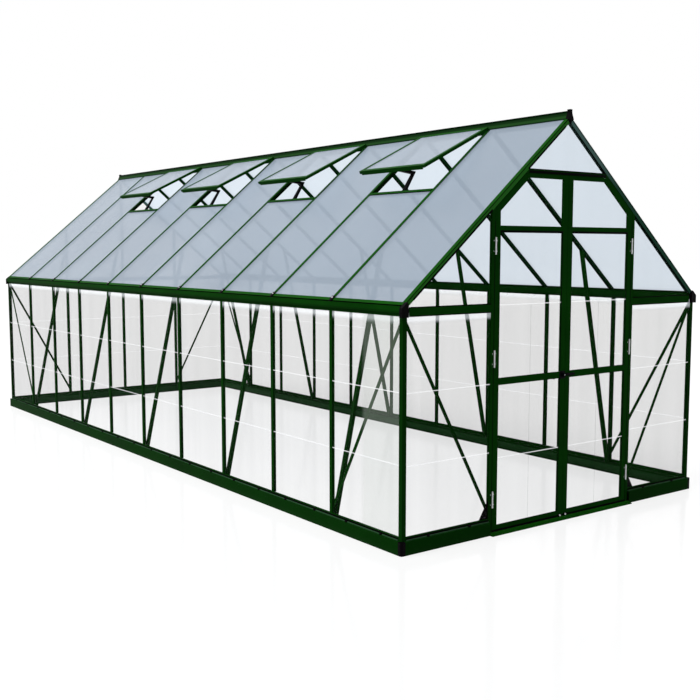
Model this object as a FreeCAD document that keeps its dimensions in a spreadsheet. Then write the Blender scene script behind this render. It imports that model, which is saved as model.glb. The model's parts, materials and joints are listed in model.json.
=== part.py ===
import FreeCAD, Part
import math
import os
import re

import Sketcher
from FreeCAD import Vector

# Walk-in greenhouse with a gabled roof, in millimetres and degrees.
# +X is to the right seen from the doors, +Y runs from the doors to the back wall, +Z is up.
# The origin is on the ground in the middle of the footprint, threshold included.

# Bays along each long wall. Every second bay from the front has a roof vent.
bay_count = 10
vent_count = (bay_count - 2) // 2

sizes = {
    # Overall
    "frame_length": 6122,
    "frame_width": 2440,
    "eave_height": 1261,
    "roof_angle": 40.2,
    "fit_gap": 0.3,
    "edge_gap": 1,
    "pin_gap": 0.08,
    # Base rails, folded C section
    "base_height": 72,
    "base_depth": 60,
    "base_wall": 2.5,
    "base_return": 12,
    "cap_side": 28,
    "cap_round": 12,
    "anchor_hole": 8,
    "anchor_spacing": 4800,
    "clip_length": 16,
    "clip_depth": 10,
    "clip_height": 9,
    # Slotted profiles of walls and roof
    "wall_inset": 16,
    "rail_height": 20,
    "stud_width": 25,
    "stud_depth": 18,
    "rafter_depth": 27.5,
    "profile_wall": 2.5,
    "slot_gap": 5,
    "web_width": 8,
    "post_size": 27,
    "slot_depth": 6,
    "gable_spacing": 604,
    # Eaves
    "gutter_fall": 25,
    "gutter_depth": 58,
    "gutter_wall": 2.5,
    "gutter_height": 35,
    "gutter_bulge": 4,
    "bulge_height": 12,
    "lip_drop": 18,
    "roof_edge": 24,
    "trim_width": 22,
    "connector_front": 4,
    "connector_depth": 22,
    "connector_drop": 23,
    "connector_bite": 15,
    "foot_cap_length": 28,
    "foot_cap_width": 27,
    "foot_cap_height": 5,
    "tie_height": 38,
    "tie_drop": 15,
    # Ridge
    "ridge_rise": 28,
    "ridge_half": 9,
    "ridge_bead": 12,
    "ridge_flange": 30,
    "ridge_web": 10,
    "stem_drop": 45,
    "end_cap": 22,
    "cap_stand": 6,
    "cap_rise": 8,
    # Sheets
    "sheet_thickness": 2,
    "roof_sheet": 4,
    "gable_tuck": 7.5,
    "panel_lap": 10,
    # Braces
    "brace_heel": 38,
    "brace_thickness": 6,
    "brace_offset": 14.5,
    "brace_head": 4,
    "brace_lift": 26,
    "lean_width": 23,
    "lean_reach": 356,
    "gusset_run": 60,
    "gusset_rise": 95,
    "gusset_thickness": 4,
    # Threshold
    "sill_reach": 22,
    "sill_height": 12,
    "sill_nose": 3,
    # Doors
    "door_half": 568,
    "door_depth": 22,
    "door_skin": 4,
    "door_drop": 330,
    "door_clearance": 3,
    "leaf_gap": 2,
    "hinge_gap": 2,
    "jamb_width": 24,
    "stile_width": 36,
    "meeting_stile": 38,
    "bottom_rail": 32,
    "rail_width": 35,
    "mid_rail_base": 823,
    "upper_rail_drop": 319,
    "top_rail": 24,
    "slope_gap": 4,
    "slope_rail": 35,
    "rebate": 8,
    "header_gap": 2,
    "header_height": 19,
    "header_slot": 8,
    # Door hinges
    "hinge_length": 92,
    "hinge_low": 149,
    "hinge_middle": 920,
    "hinge_drop": 438,
    "hinge_plate": 0.8,
    "hinge_reach": 18,
    "knuckle_radius": 4.5,
    "hinge_pin": 2.2,
    # Handle, keeper and foot plugs
    "handle_height": 840,
    "handle_inset": 19,
    "rose_radius": 16,
    "rose_thickness": 4,
    "knob_radius": 12,
    "knob_length": 13,
    "lever_height": 12,
    "spindle_radius": 4,
    "thumb_length": 58,
    "thumb_width": 12,
    "thumb_thickness": 8,
    "thumb_angle": 25,
    "keeper_length": 70,
    "keeper_height": 14,
    "keeper_depth": 12,
    "plug_width": 22,
    "plug_height": 16,
    "plug_depth": 6,
    # Roof vents
    "vent_open": 14.1,
    "vent_gap": 1.5,
    "vent_lift": 2,
    "vent_length": 570,
    "vent_height": 18,
    "vent_wall": 2.5,
    "vent_border": 27,
    "vent_overlap": 5,
    "vent_axis_back": 6,
    "vent_axis_height": 5.5,
    "lip_thickness": 3,
    "lip_fall": 8.5,
    "stub_radius": 3,
    "lug_thickness": 5,
    "lug_length": 11,
    "lug_height": 12,
    "crossbar_start": 586,
    "crossbar_width": 28,
    "crossbar_depth": 20,
    "strip_width": 16,
    "strip_height": 7,
    # Vent stays
    "stay_width": 28,
    "stay_eye": 13,
    "stay_half": 9.5,
    "stay_elbow": 13,
    "stay_round": 7,
    "stay_foot": 8,
    "stay_bend_run": 100,
    "stay_bend_fall": 105,
    "pivot_back": 33.5,
    "pivot_fall": 2,
    "pivot_radius": 3,
    "ear_thickness": 4,
    "ear_gap": 1,
    "ear_margin": 7,
    "ear_rise": 5,
}

doc = FreeCAD.newDocument("greenhouse")
dims = doc.addObject("Spreadsheet::Sheet", "dims")
for row, (name, value) in enumerate(sizes.items(), 1):
    dims.set(f"A{row}", name)
    dims.set(f"B{row}", str(value))
    dims.setAlias(f"B{row}", name)
doc.recompute()

# Lengths and places worked out from the sheet, as text for the expressions
pitch = f"((frame_length - 2 * wall_inset - stud_width) / {bay_count})"
front_line = "(wall_inset + stud_width / 2 - frame_length / 2)"
apex = "(eave_height + frame_width / 2 * tan(roof_angle))"
slope_length = "(frame_width / 2 / cos(roof_angle))"
rail_top = "(base_height + rail_height)"
rail_depth = "(2 * profile_wall + slot_gap)"
seat = "(profile_wall + slot_gap)"
gutter_bottom = "(eave_height - gutter_fall)"
post_top = "(eave_height - gutter_fall - connector_drop)"
tie_bottom = "(eave_height - gutter_fall - tie_drop)"
post_edge = "(wall_inset + post_size)"
jamb_edge = "(door_half + hinge_gap + jamb_width)"
rafter_foot = "(roof_edge + trim_width)"
stem_half = "(ridge_flange * cos(roof_angle) - rafter_depth * sin(roof_angle) - fit_gap)"
door_top = f"({apex} - door_drop)"
upper_rail = f"({door_top} - upper_rail_drop)"
header_bottom = f"({door_top} + header_gap)"
door_foot = "(sill_height + door_clearance)"
door_face = "(wall_inset - frame_length / 2)"
vent_width = f"({pitch} + 2 * vent_overlap)"
first_vent = f"({front_line} + 1.5 * {pitch})"
crossbar_end = "(crossbar_start + crossbar_width)"

nodes = []


def formula(text):
    return re.sub(r"[a-z]\w*", lambda word: ("dims." if word.group() in sizes else "") + word.group(), text)


def place(item, x="0", y="0", z="0", axis="0; 0; 1", angle="0"):
    spot = f"create(<<vector>>; {x}; {y} + sill_reach / 2; {z})"
    turn = f"create(<<rotation>>; create(<<vector>>; {axis}); {angle})"
    item.setExpression("Placement", formula(f"create(<<placement>>; {spot}; {turn})"))
    return item


def node(item, label):
    item.Label = label
    nodes.append(item)
    return item


def body(name, **where):
    item = doc.addObject("PartDesign::Body", name)
    item.AllowCompound = True
    return place(item, **where)


def origin(item, role):
    return [feature for feature in item.Origin.OriginFeatures if feature.Role == role][0]


# Sketch of closed polygons. Every corner is tied to the sheet; the corners start on a circle.
def outline(item, name, plane, *loops, offset="0"):
    sketch = item.newObject("Sketcher::SketchObject", name)
    sketch.AttachmentSupport = [(origin(item, plane), "")]
    sketch.MapMode = "FlatFace"
    sketch.setExpression("AttachmentOffset.Base.z", formula(offset))
    for loop in loops:
        first = sketch.GeometryCount
        count = len(loop)
        turns = [2 * math.pi * index / count for index in range(count)]
        seeds = [Vector(100 * math.cos(turn), 100 * math.sin(turn), 0) for turn in turns]
        for index in range(count):
            sketch.addGeometry(Part.LineSegment(seeds[index], seeds[(index + 1) % count]))
        for index in range(count):
            follower = first + (index + 1) % count
            sketch.addConstraint(Sketcher.Constraint("Coincident", first + index, 2, follower, 1))
        for index, (across, up) in enumerate(loop):
            pairs = (("DistanceX", across, seeds[index].x), ("DistanceY", up, seeds[index].y))
            for kind, text, start in pairs:
                number = sketch.addConstraint(Sketcher.Constraint(kind, -1, 1, first + index, 1, start))
                sketch.setExpression(f"Constraints[{number}]", formula(text))
    return sketch


def circles(item, name, plane, diameter, *centres):
    sketch = item.newObject("Sketcher::SketchObject", name)
    sketch.AttachmentSupport = [(origin(item, plane), "")]
    sketch.MapMode = "FlatFace"
    for index, (across, up) in enumerate(centres):
        start = Vector(10, 10 + 50 * index, 0)
        sketch.addGeometry(Part.Circle(start, Vector(0, 0, 1), 4))
        number = sketch.addConstraint(Sketcher.Constraint("Diameter", index, 8))
        sketch.setExpression(f"Constraints[{number}]", formula(diameter))
        for kind, text, seed in (("DistanceX", across, start.x), ("DistanceY", up, start.y)):
            number = sketch.addConstraint(Sketcher.Constraint(kind, -1, 1, index, 3, seed))
            sketch.setExpression(f"Constraints[{number}]", formula(text))
    return sketch


def pad(item, name, sketch, depth, symmetric=False):
    feature = item.newObject("PartDesign::Pad", name)
    feature.Profile = sketch
    feature.setExpression("Length", formula(depth))
    if symmetric:
        feature.SideType = "Symmetric"
    return feature


def pocket(item, name, sketch, depth=None, symmetric=True):
    feature = item.newObject("PartDesign::Pocket", name)
    feature.Profile = sketch
    if depth:
        feature.setExpression("Length", formula(depth))
    else:
        feature.Type = "ThroughAll"
    if symmetric:
        feature.SideType = "Symmetric"
    return feature


# Repeats a feature along the body's own Y axis
def line_up(item, name, feature, spacing, count):
    pattern = item.newObject("PartDesign::LinearPattern", name)
    pattern.Originals = [feature]
    pattern.Direction = (origin(item, "Y_Axis"), [""])
    pattern.Mode = "Spacing"
    pattern.setExpression("Offset", formula(spacing))
    pattern.Occurrences = count
    item.Tip = pattern
    return pattern


def both_ends(item, name, feature):
    pattern = item.newObject("PartDesign::Mirrored", name)
    pattern.Originals = [feature]
    pattern.MirrorPlane = (origin(item, "XZ_Plane"), [""])
    item.Tip = pattern
    return pattern


def box(name, size, **where):
    item = doc.addObject("Part::Box", name)
    for side, text in zip(("Length", "Width", "Height"), size):
        item.setExpression(side, formula(text))
    return place(item, **where)


def rod(name, radius, height, **where):
    item = doc.addObject("Part::Cylinder", name)
    item.setExpression("Radius", formula(radius))
    item.setExpression("Height", formula(height))
    return place(item, **where)


def joined(name, parts):
    item = doc.addObject("Part::MultiFuse", name)
    item.Shapes = parts
    return item


def cut(name, base, tool):
    item = doc.addObject("Part::Cut", name)
    item.Base = base
    item.Tool = tool
    return item


def group(name, parts):
    item = doc.addObject("Part::Compound", name)
    item.Links = parts
    return item


def mirrored(source, name, front_to_back=False):
    item = doc.addObject("Part::Mirroring", name)
    item.Source = source
    if front_to_back:
        item.Normal = Vector(0, 1, 0)
        item.setExpression("Base.y", formula("sill_reach / 2"))
    else:
        item.Normal = Vector(1, 0, 0)
    return item


def copy(source, name, y="0", z="0"):
    item = doc.addObject("App::Link", name)
    item.LinkedObject = source
    item.LinkTransform = True
    shift = f"create(<<placement>>; create(<<vector>>; 0; {y}; {z}); create(<<rotation>>; 0; 0; 0))"
    item.setExpression("Placement", formula(shift))
    return item


def left_and_right(source, name):
    return group(name + "_pair", [source, mirrored(source, name + "_twin")])


def four_corners(source, name):
    back = mirrored(source, name + "_back", front_to_back=True)
    right = [mirrored(source, name + "_r"), mirrored(back, name + "_back_r")]
    return group(name + "_set", [source, back] + right)


# Point in an inclined frame (start x, start z, angle): run goes up the incline, rise stands off it
def point(frame, run, rise):
    start_x, start_z, angle = frame
    x = f"({start_x} + ({run}) * cos({angle}) - ({rise}) * sin({angle}))"
    z = f"({start_z} + ({run}) * sin({angle}) + ({rise}) * cos({angle}))"
    return x, z


def tilted(frame, run, rise, y):
    x, z = point(frame, run, rise)
    return {"x": x, "y": y, "z": z, "axis": "0; 1; 0", "angle": f"-{frame[2]}"}


slope = ("-frame_width / 2", "eave_height", "roof_angle")
axis_run = f"({slope_length} - ridge_flange - vent_gap - vent_axis_back)"
axis_x, axis_z = point(slope, axis_run, "vent_lift + vent_axis_height")
lid = (axis_x, axis_z, "(roof_angle - vent_open)")


# Height of a line parallel to the left roof slope and a depth below it, at a place left of the ridge
def under_roof(outward, depth):
    return f"({apex} - ({outward}) * tan(roof_angle) - ({depth}) / cos(roof_angle))"


# Distance left of the ridge where that line reaches a height
def outward_at(height, depth):
    return f"(({apex} - ({depth}) / cos(roof_angle) - ({height})) / tan(roof_angle))"


# Half of a profile's section is given as depth and width from the middle; the rest is its mirror image
def slotted_section(width, back="stud_depth"):
    half = f"({width} / 2)"
    plate = "(2 * profile_wall + slot_gap)"
    side = [
        ("0", half), ("profile_wall", half), ("profile_wall", "web_width / 2"), (seat, "web_width / 2"),
        (seat, half), (back, half), (back, f"({half} - profile_wall)"),
        (plate, f"({half} - profile_wall)"),
    ]
    return side + [(depth, f"-{across}") for depth, across in reversed(side)]


# Base rails: C section open to the inside, mitred where they meet behind the corner caps
base_section = [
    ("0", "0"), ("base_depth", "0"), ("base_depth", "base_return"),
    ("base_depth - base_wall", "base_return"), ("base_depth - base_wall", "base_wall"),
    ("base_wall", "base_wall"), ("base_wall", "base_height - base_wall"),
    ("base_depth - base_wall", "base_height - base_wall"),
    ("base_depth - base_wall", "base_height - base_return"),
    ("base_depth", "base_height - base_return"), ("base_depth", "base_height"), ("0", "base_height"),
]


def base_rail(name, run, both, **where):
    rail = body(name, **where)
    pad(rail, name + "_fold", outline(rail, name + "_section", "XZ_Plane", base_section), run, True)
    miter = [
        ("cap_side", f"{run} / 2"), ("base_depth", f"{run} / 2"),
        ("base_depth", f"{run} / 2 - base_depth + cap_side"),
    ]
    trim = pocket(rail, name + "_miter", outline(rail, name + "_miter_shape", "XY_Plane", miter))
    if both:
        both_ends(rail, name + "_miters", trim)
    return rail


rail_left = base_rail("rail_left", "(frame_length - 2 * cap_side)", True, x="-frame_width / 2")
holes = [("base_depth / 2", "anchor_spacing / 2"), ("base_depth / 2", "-anchor_spacing / 2")]
anchors = circles(rail_left, "anchors", "XY_Plane", "anchor_hole", *holes)
pocket(rail_left, "anchor_holes", anchors, "4 * base_wall")
node(rail_left, "base_rail_left")
node(mirrored(rail_left, "rail_right"), "base_rail_right")
rail_back = base_rail("rail_back", "(frame_width - 2 * cap_side)", True, y="frame_length / 2", angle="-90")
node(rail_back, "base_rail_back")
front_run = f"(frame_width / 2 - cap_side - {jamb_edge})"
front_middle = f"-(frame_width / 2 - cap_side + {jamb_edge}) / 2"
rail_front = base_rail("rail_front", front_run, False, x=front_middle, y="-frame_length / 2", angle="90")
node(left_and_right(rail_front, "rail_front"), "base_rails_front")

# Corner caps: rounded black blocks that the base rails butt against
corner_cap = body("corner_cap", x="-frame_width / 2", y="-frame_length / 2")
cap_shape = [
    ("cap_round", "0"), ("cap_side", "0"), ("cap_side", "cap_side"), ("0", "cap_side"), ("0", "cap_round"),
    ("0.134 * cap_round", "0.5 * cap_round"), ("0.293 * cap_round", "0.293 * cap_round"),
    ("0.5 * cap_round", "0.134 * cap_round"),
]
corner_cap_sketch = outline(corner_cap, "corner_cap_shape", "XY_Plane", cap_shape)
pad(corner_cap, "corner_cap_block", corner_cap_sketch, "base_height")
node(four_corners(corner_cap, "corner_cap"), "base_corner_caps")

# Sill rails: U channels on the base that take the lower edges of the wall sheets
inner_lip = f"(wall_inset + {rail_depth})"
sill_section = [
    ("wall_inset", "base_height"), (inner_lip, "base_height"), (inner_lip, rail_top),
    (f"{inner_lip} - profile_wall", rail_top), (f"{inner_lip} - profile_wall", "base_height + profile_wall"),
    ("wall_inset + profile_wall", "base_height + profile_wall"),
    ("wall_inset + profile_wall", rail_top), ("wall_inset", rail_top),
]


def sill_rail(name, run, **where):
    rail = body(name, **where)
    pad(rail, name + "_channel", outline(rail, name + "_section", "XZ_Plane", sill_section), run, True)
    return rail


sill_left = sill_rail("sill_left", f"frame_length - 2 * {post_edge}", x="-frame_width / 2")
sill_back = sill_rail("sill_back", f"frame_width - 2 * {post_edge}", y="frame_length / 2", angle="-90")
front_sill_run = f"(frame_width / 2 - {post_edge} - {jamb_edge})"
front_sill_middle = f"-(frame_width / 2 - {post_edge} + {jamb_edge}) / 2"
sill_front = sill_rail("sill_front", front_sill_run, x=front_sill_middle, y="-frame_length / 2", angle="90")
sill_parts = [sill_left, mirrored(sill_left, "sill_right"), sill_back]
sill_parts += [sill_front, mirrored(sill_front, "sill_front_right")]
node(group("sill_group", sill_parts), "sill_rails")

# Clips on the ledge in front of the sill rails, two in each bay
clip_start = f"{front_line} + {pitch} / 4 - clip_length / 2"
clip_row = body("clip_row", x="wall_inset - clip_depth - frame_width / 2", y=clip_start, z="base_height")
clip_shape = [("0", "0"), ("clip_depth", "0"), ("clip_depth", "clip_length"), ("0", "clip_length")]
clip = pad(clip_row, "clip", outline(clip_row, "clip_shape", "XY_Plane", clip_shape), "clip_height")
line_up(clip_row, "clips", clip, f"{pitch} / 2", 2 * bay_count)
node(left_and_right(clip_row, "clip_row"), "base_clips")

# Corner posts: L section with a slot for the sheet of each wall
corner_post = body("corner_post", x="-frame_width / 2 + wall_inset", y=door_face, z="base_height")
post_shape = [
    ("0", "0"), ("post_size", "0"), ("post_size", "profile_wall"), ("post_size - slot_depth", "profile_wall"),
    ("post_size - slot_depth", seat), ("post_size", seat), ("post_size", "stud_depth"),
    ("stud_depth", "stud_depth"), ("stud_depth", "post_size"), (seat, "post_size"),
    (seat, "post_size - slot_depth"), ("profile_wall", "post_size - slot_depth"),
    ("profile_wall", "post_size"), ("0", "post_size"),
]
post_sketch = outline(corner_post, "post_shape", "XY_Plane", post_shape)
pad(corner_post, "post", post_sketch, f"{post_top} - base_height")
node(four_corners(corner_post, "corner_post"), "corner_posts")

# Studs of the long walls
stud_row = body("stud_row", x="-frame_width / 2 + wall_inset", y=f"{front_line} + {pitch}", z=rail_top)
stud_sketch = outline(stud_row, "stud_section", "XY_Plane", slotted_section("stud_width"))
stud = pad(stud_row, "stud", stud_sketch, f"{gutter_bottom} - lip_drop - {rail_top}")
line_up(stud_row, "studs", stud, pitch, bay_count - 1)
node(stud_row, "wall_studs_left")
node(mirrored(stud_row, "stud_row_right"), "wall_studs_right")


# Uprights of the gables: posts with sheet slots in their sides, cut to the roof at the top
def upright(name, shape, y, slots):
    item = body(name, y=y)
    pad(item, name + "_post", outline(item, name + "_shape", "XZ_Plane", shape, offset="-stud_depth / 2"),
        "stud_depth", True)
    pocket(item, name + "_slots", outline(item, name + "_slot_shape", "XY_Plane", *slots))
    return item


def slot_loop(start, end):
    return [(start, "profile_wall"), (end, "profile_wall"), (end, seat), (start, seat)]


jamb_inner = "(door_half + hinge_gap)"
jamb_shape = [
    (f"-{jamb_edge}", "sill_height"), (f"-{jamb_inner}", "sill_height"),
    (f"-{jamb_inner}", under_roof(jamb_inner, "rafter_depth")),
    (f"-{jamb_edge}", under_roof(jamb_edge, "rafter_depth")),
]
jamb = upright("jamb", jamb_shape, door_face, [slot_loop(f"-{jamb_edge}", f"slot_depth - {jamb_edge}")])
node(left_and_right(jamb, "jamb"), "door_jambs")

outer_edge = "(gable_spacing + stud_width / 2)"
inner_edge = "(gable_spacing - stud_width / 2)"
side_shape = [
    (f"-{outer_edge}", rail_top), (f"-{inner_edge}", rail_top),
    (f"-{inner_edge}", under_roof(inner_edge, "rafter_depth")),
    (f"-{outer_edge}", under_roof(outer_edge, "rafter_depth")),
]
side_slots = [
    slot_loop(f"-{outer_edge}", f"slot_depth - {outer_edge}"),
    slot_loop(f"-{inner_edge} - slot_depth", f"-{inner_edge}"),
]
side_stud = mirrored(upright("side_stud", side_shape, door_face, side_slots), "side_stud_back", True)
middle_top = under_roof("stud_width / 2", "rafter_depth")
middle_shape = [
    ("-stud_width / 2", rail_top), ("stud_width / 2", rail_top),
    ("stud_width / 2", middle_top), ("-stud_width / 2", middle_top),
]
middle_slots = [
    slot_loop("-stud_width / 2", "slot_depth - stud_width / 2"),
    slot_loop("stud_width / 2 - slot_depth", "stud_width / 2"),
]
middle_upright = upright("middle_stud", middle_shape, door_face, middle_slots)
middle_stud = mirrored(middle_upright, "middle_stud_back", True)
back_set = [side_stud, mirrored(side_stud, "side_stud_right"), middle_stud]
node(group("back_stud_set", back_set), "back_studs")

# Eave gutters: channel with a bulged outer wall, two lips below for the wall sheets, and an inner wall
# whose top edge carries the rafters
gutter_lip = f"({gutter_bottom} - lip_drop)"
wall_foot = "(gutter_depth - gutter_wall)"
gutter_section = [
    ("gutter_bulge", gutter_bottom), ("0", f"{gutter_bottom} + bulge_height"),
    ("gutter_bulge", f"{gutter_bottom} + gutter_height"),
    ("gutter_bulge + gutter_wall", f"{gutter_bottom} + gutter_height"),
    ("gutter_wall", f"{gutter_bottom} + bulge_height"),
    ("gutter_bulge + gutter_wall", f"{gutter_bottom} + gutter_wall"),
    (wall_foot, f"{gutter_bottom} + gutter_wall"),
    (wall_foot, under_roof(f"frame_width / 2 - {wall_foot}", "rafter_depth")),
    ("gutter_depth", under_roof("frame_width / 2 - gutter_depth", "rafter_depth")),
    ("gutter_depth", gutter_bottom), (inner_lip, gutter_bottom), (inner_lip, gutter_lip),
    (f"{inner_lip} - profile_wall", gutter_lip), (f"{inner_lip} - profile_wall", gutter_bottom),
    ("wall_inset + profile_wall", gutter_bottom), ("wall_inset + profile_wall", gutter_lip),
    ("wall_inset", gutter_lip), ("wall_inset", gutter_bottom),
]
eave_run = "(frame_length - 2 * connector_front - 2 * connector_depth)"
gutter = body("gutter", x="-frame_width / 2")
pad(gutter, "gutter_fold", outline(gutter, "gutter_section", "XZ_Plane", gutter_section), eave_run, True)
node(left_and_right(gutter, "gutter"), "eave_gutters")

# Trims along the lower roof edges, slotted for the roof sheets
trim_section = [
    ("roof_edge", "0"), (rafter_foot, "0"), (rafter_foot, "-profile_wall"),
    ("roof_edge + profile_wall", "-profile_wall"), ("roof_edge + profile_wall", f"-{seat}"),
    (rafter_foot, f"-{seat}"), (rafter_foot, f"-{rail_depth}"), ("roof_edge", f"-{rail_depth}"),
]
trim = body("trim", **tilted(slope, "0", "0", "0"))
pad(trim, "trim_fold", outline(trim, "trim_section", "XZ_Plane", trim_section), eave_run, True)
node(left_and_right(trim, "trim"), "eave_trims")

# Eave connectors: black blocks on the corner posts that take gutter, trim and gable rafter;
# small caps on the feet of the other rafters
bite_x, bite_z = point(slope, rafter_foot, "-connector_bite")
top_x, top_z = point(slope, rafter_foot, "0")
connector_shape = [
    ("-frame_width / 2", post_top), (bite_x, post_top), (bite_x, bite_z), (top_x, top_z),
    ("-frame_width / 2", "eave_height"),
]
connector = body("connector", y="connector_front + connector_depth / 2 - frame_length / 2")
connector_sketch = outline(connector, "connector_shape", "XZ_Plane", connector_shape)
pad(connector, "connector_block", connector_sketch, "connector_depth", True)
foot_cap = box(
    "foot_cap", ("foot_cap_length", "foot_cap_width", "foot_cap_height"),
    **tilted(slope, "roof_edge + profile_wall", "0", f"{front_line} + {pitch} - foot_cap_width / 2"))
foot_caps = [copy(foot_cap, f"foot_cap_{bay}", y=f"{bay} * {pitch}") for bay in range(1, bay_count - 1)]
foot_row = group("foot_caps", [foot_cap] + foot_caps)
connector_set = four_corners(connector, "connector")
node(group("eave_blocks", [connector_set, left_and_right(foot_row, "foot_row")]), "eave_connectors")


# Tie beams across the gables at eave height, slotted above and below for the sheets
def tie_beam(name, start, run):
    beam = body(name, x=start, y=door_face, z=f"{tie_bottom} + tie_height / 2")
    section = outline(beam, name + "_section", "YZ_Plane", slotted_section("tie_height"))
    pad(beam, name + "_beam", section, run)
    return beam


tie_start = "(frame_width / 2 - gutter_depth)"
front_tie = tie_beam("front_tie", f"-{tie_start}", f"{tie_start} - {jamb_edge}")
node(left_and_right(front_tie, "front_tie"), "tie_beams_front")
outer_beam = tie_beam("outer_tie", f"-{tie_start}", f"{tie_start} - {outer_edge}")
outer_tie = mirrored(outer_beam, "outer_tie_back", True)
inner_tie = mirrored(
    tie_beam("inner_tie", f"-{inner_edge}", f"{inner_edge} - stud_width / 2"), "inner_tie_back", True)
right_ties = [mirrored(outer_tie, "outer_tie_right"), mirrored(inner_tie, "inner_tie_right")]
tie_parts = [outer_tie, inner_tie] + right_ties
node(group("back_ties", tie_parts), "tie_beams_back")

# Door header between the gable rafters, slotted above for the top sheet
header_top = f"({header_bottom} + header_height)"
low_half = outward_at(header_bottom, "rafter_depth")
high_half = outward_at(header_top, "rafter_depth")
header = body("header", y=door_face, z=header_top)
header_shape = [
    (f"-{low_half}", "-header_height"), (low_half, "-header_height"),
    (high_half, "0"), (f"-{high_half}", "0"),
]
header_sketch = outline(header, "header_shape", "XZ_Plane", header_shape, offset="-stud_depth / 2")
pad(header, "header_beam", header_sketch, "stud_depth", True)
header_slot = outline(header, "header_slot", "XY_Plane", slot_loop(f"-{low_half}", low_half))
pocket(header, "header_groove", header_slot, "header_slot", symmetric=False)
node(header, "door_header")


# Ridge: bead on top, sheet slots in both flanks, stem between the rafters
def ridge_point(down, rise):
    x, z = point(("0", "0", "roof_angle"), f"-({down})", rise)
    return x, z


def symmetric_outline(left_side):
    return left_side + [(f"-({across})", up) for across, up in reversed(left_side)]


bead = [("-ridge_half", "ridge_rise"), ("-ridge_half", "ridge_rise - ridge_bead")]
stem_top = f"-({stem_half} * tan(roof_angle) + {rail_depth} / cos(roof_angle))"
stem = [(f"-{stem_half}", stem_top), (f"-{stem_half}", "-stem_drop")]
flank = [
    ridge_point("ridge_flange", "0"), ridge_point("ridge_flange", "-profile_wall"),
    ridge_point("ridge_web", "-profile_wall"), ridge_point("ridge_web", f"-{seat}"),
    ridge_point("ridge_flange", f"-{seat}"), ridge_point("ridge_flange", f"-{rail_depth}"),
]
closed_flank = [ridge_point("ridge_flange", "0"), ridge_point("ridge_flange", f"-{rail_depth}")]
ridge = body("ridge", z=apex)
ridge_sketch = outline(ridge, "ridge_section", "XZ_Plane", symmetric_outline(bead + flank + stem))
pad(ridge, "ridge_profile", ridge_sketch, "frame_length - 2 * (wall_inset + end_cap - cap_stand)", True)
node(ridge, "ridge_beam")
ridge_cap = body("ridge_cap", y="wall_inset - cap_stand + end_cap / 2 - frame_length / 2", z=apex)
cap_top = [("-ridge_half", "ridge_rise + cap_rise")]
ridge_cap_points = symmetric_outline(cap_top + bead[1:] + closed_flank + stem)
ridge_cap_sketch = outline(ridge_cap, "ridge_cap_shape", "XZ_Plane", ridge_cap_points)
pad(ridge_cap, "ridge_cap_plate", ridge_cap_sketch, "end_cap", True)
node(group("ridge_caps", [ridge_cap, mirrored(ridge_cap, "ridge_cap_back", True)]), "ridge_end_caps")

# Rafters between eave trim and ridge
rafter_section = [(across, f"-{depth}") for depth, across in slotted_section("stud_width", "rafter_depth")]
rafter_run = f"{slope_length} - ridge_flange - {rafter_foot}"


def rafter_body(name, y):
    item = body(name, **tilted(slope, rafter_foot, "0", y))
    section = outline(item, name + "_section", "YZ_Plane", rafter_section)
    return item, pad(item, name + "_bar", section, rafter_run)


rafter_row, rafter = rafter_body("rafter_row", f"{front_line} + {pitch}")
line_up(rafter_row, "rafters", rafter, pitch, bay_count - 1)
node(rafter_row, "rafters_left")
node(mirrored(rafter_row, "rafter_row_right"), "rafters_right")
gable_rafter = rafter_body("gable_rafter", front_line)[0]
node(four_corners(gable_rafter, "gable_rafter"), "gable_rafters")

# Braces: flat diagonal bars in the end bays, bars that lean from the base to the rafters
brace_low = f"({rail_top} + brace_lift)"
brace_high = f"({post_top} - brace_head)"


def brace(name, plane, start, end, **where):
    item = body(name, **where)
    shape = [
        (start, brace_high), (start, f"{brace_high} - brace_heel"), (end, brace_low),
        (end, f"{brace_low} + brace_heel"),
    ]
    pad(item, name + "_bar", outline(item, name + "_shape", plane, shape), "brace_thickness", True)
    return item


side_brace = brace(
    "side_brace", "YZ_Plane", f"{post_edge} - frame_length / 2", f"{front_line} + {pitch} - stud_width / 2",
    x="-frame_width / 2 + wall_inset + brace_offset")
brace_y = f"{door_face} + brace_offset"
front_brace = brace("front_brace", "XZ_Plane", f"{post_edge} - frame_width / 2", f"-{jamb_edge}", y=brace_y)
brace_start = f"{post_edge} - frame_width / 2"
back_brace = brace("back_brace", "XZ_Plane", brace_start, f"-{outer_edge}", y=f"-({brace_y})")
brace_parts = [four_corners(side_brace, "side_brace"), left_and_right(front_brace, "front_brace")]
brace_parts.append(left_and_right(back_brace, "back_brace"))
node(group("braces", brace_parts), "corner_braces")

lean_foot = "(base_depth - lean_width)"
lean_head = "(frame_width / 2 - lean_reach)"
lean_shape = [
    (f"{lean_foot} - frame_width / 2", "base_height"), ("base_depth - frame_width / 2", "base_height"),
    (f"lean_width - {lean_head}", under_roof(f"{lean_head} - lean_width", "rafter_depth")),
    (f"-{lean_head}", under_roof(lean_head, "rafter_depth")),
]
lean_row = body("lean_row", y=f"{front_line} + {pitch}")
lean = pad(lean_row, "lean", outline(lean_row, "lean_shape", "XZ_Plane", lean_shape), "stud_width", True)
line_up(lean_row, "leans", lean, f"2 * {pitch}", bay_count // 2)
node(left_and_right(lean_row, "lean_row"), "roof_braces")

gusset_shape = [
    (f"-{jamb_edge}", rail_top), (f"-{jamb_edge} - gusset_run", rail_top),
    (f"-{jamb_edge}", f"{rail_top} + gusset_rise"),
]
gusset = body("gusset", y=f"{door_face} + {seat} + gusset_thickness / 2")
gusset_sketch = outline(gusset, "gusset_shape", "XZ_Plane", gusset_shape)
pad(gusset, "gusset_plate", gusset_sketch, "gusset_thickness", True)
node(left_and_right(gusset, "gusset"), "door_gussets")

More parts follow.
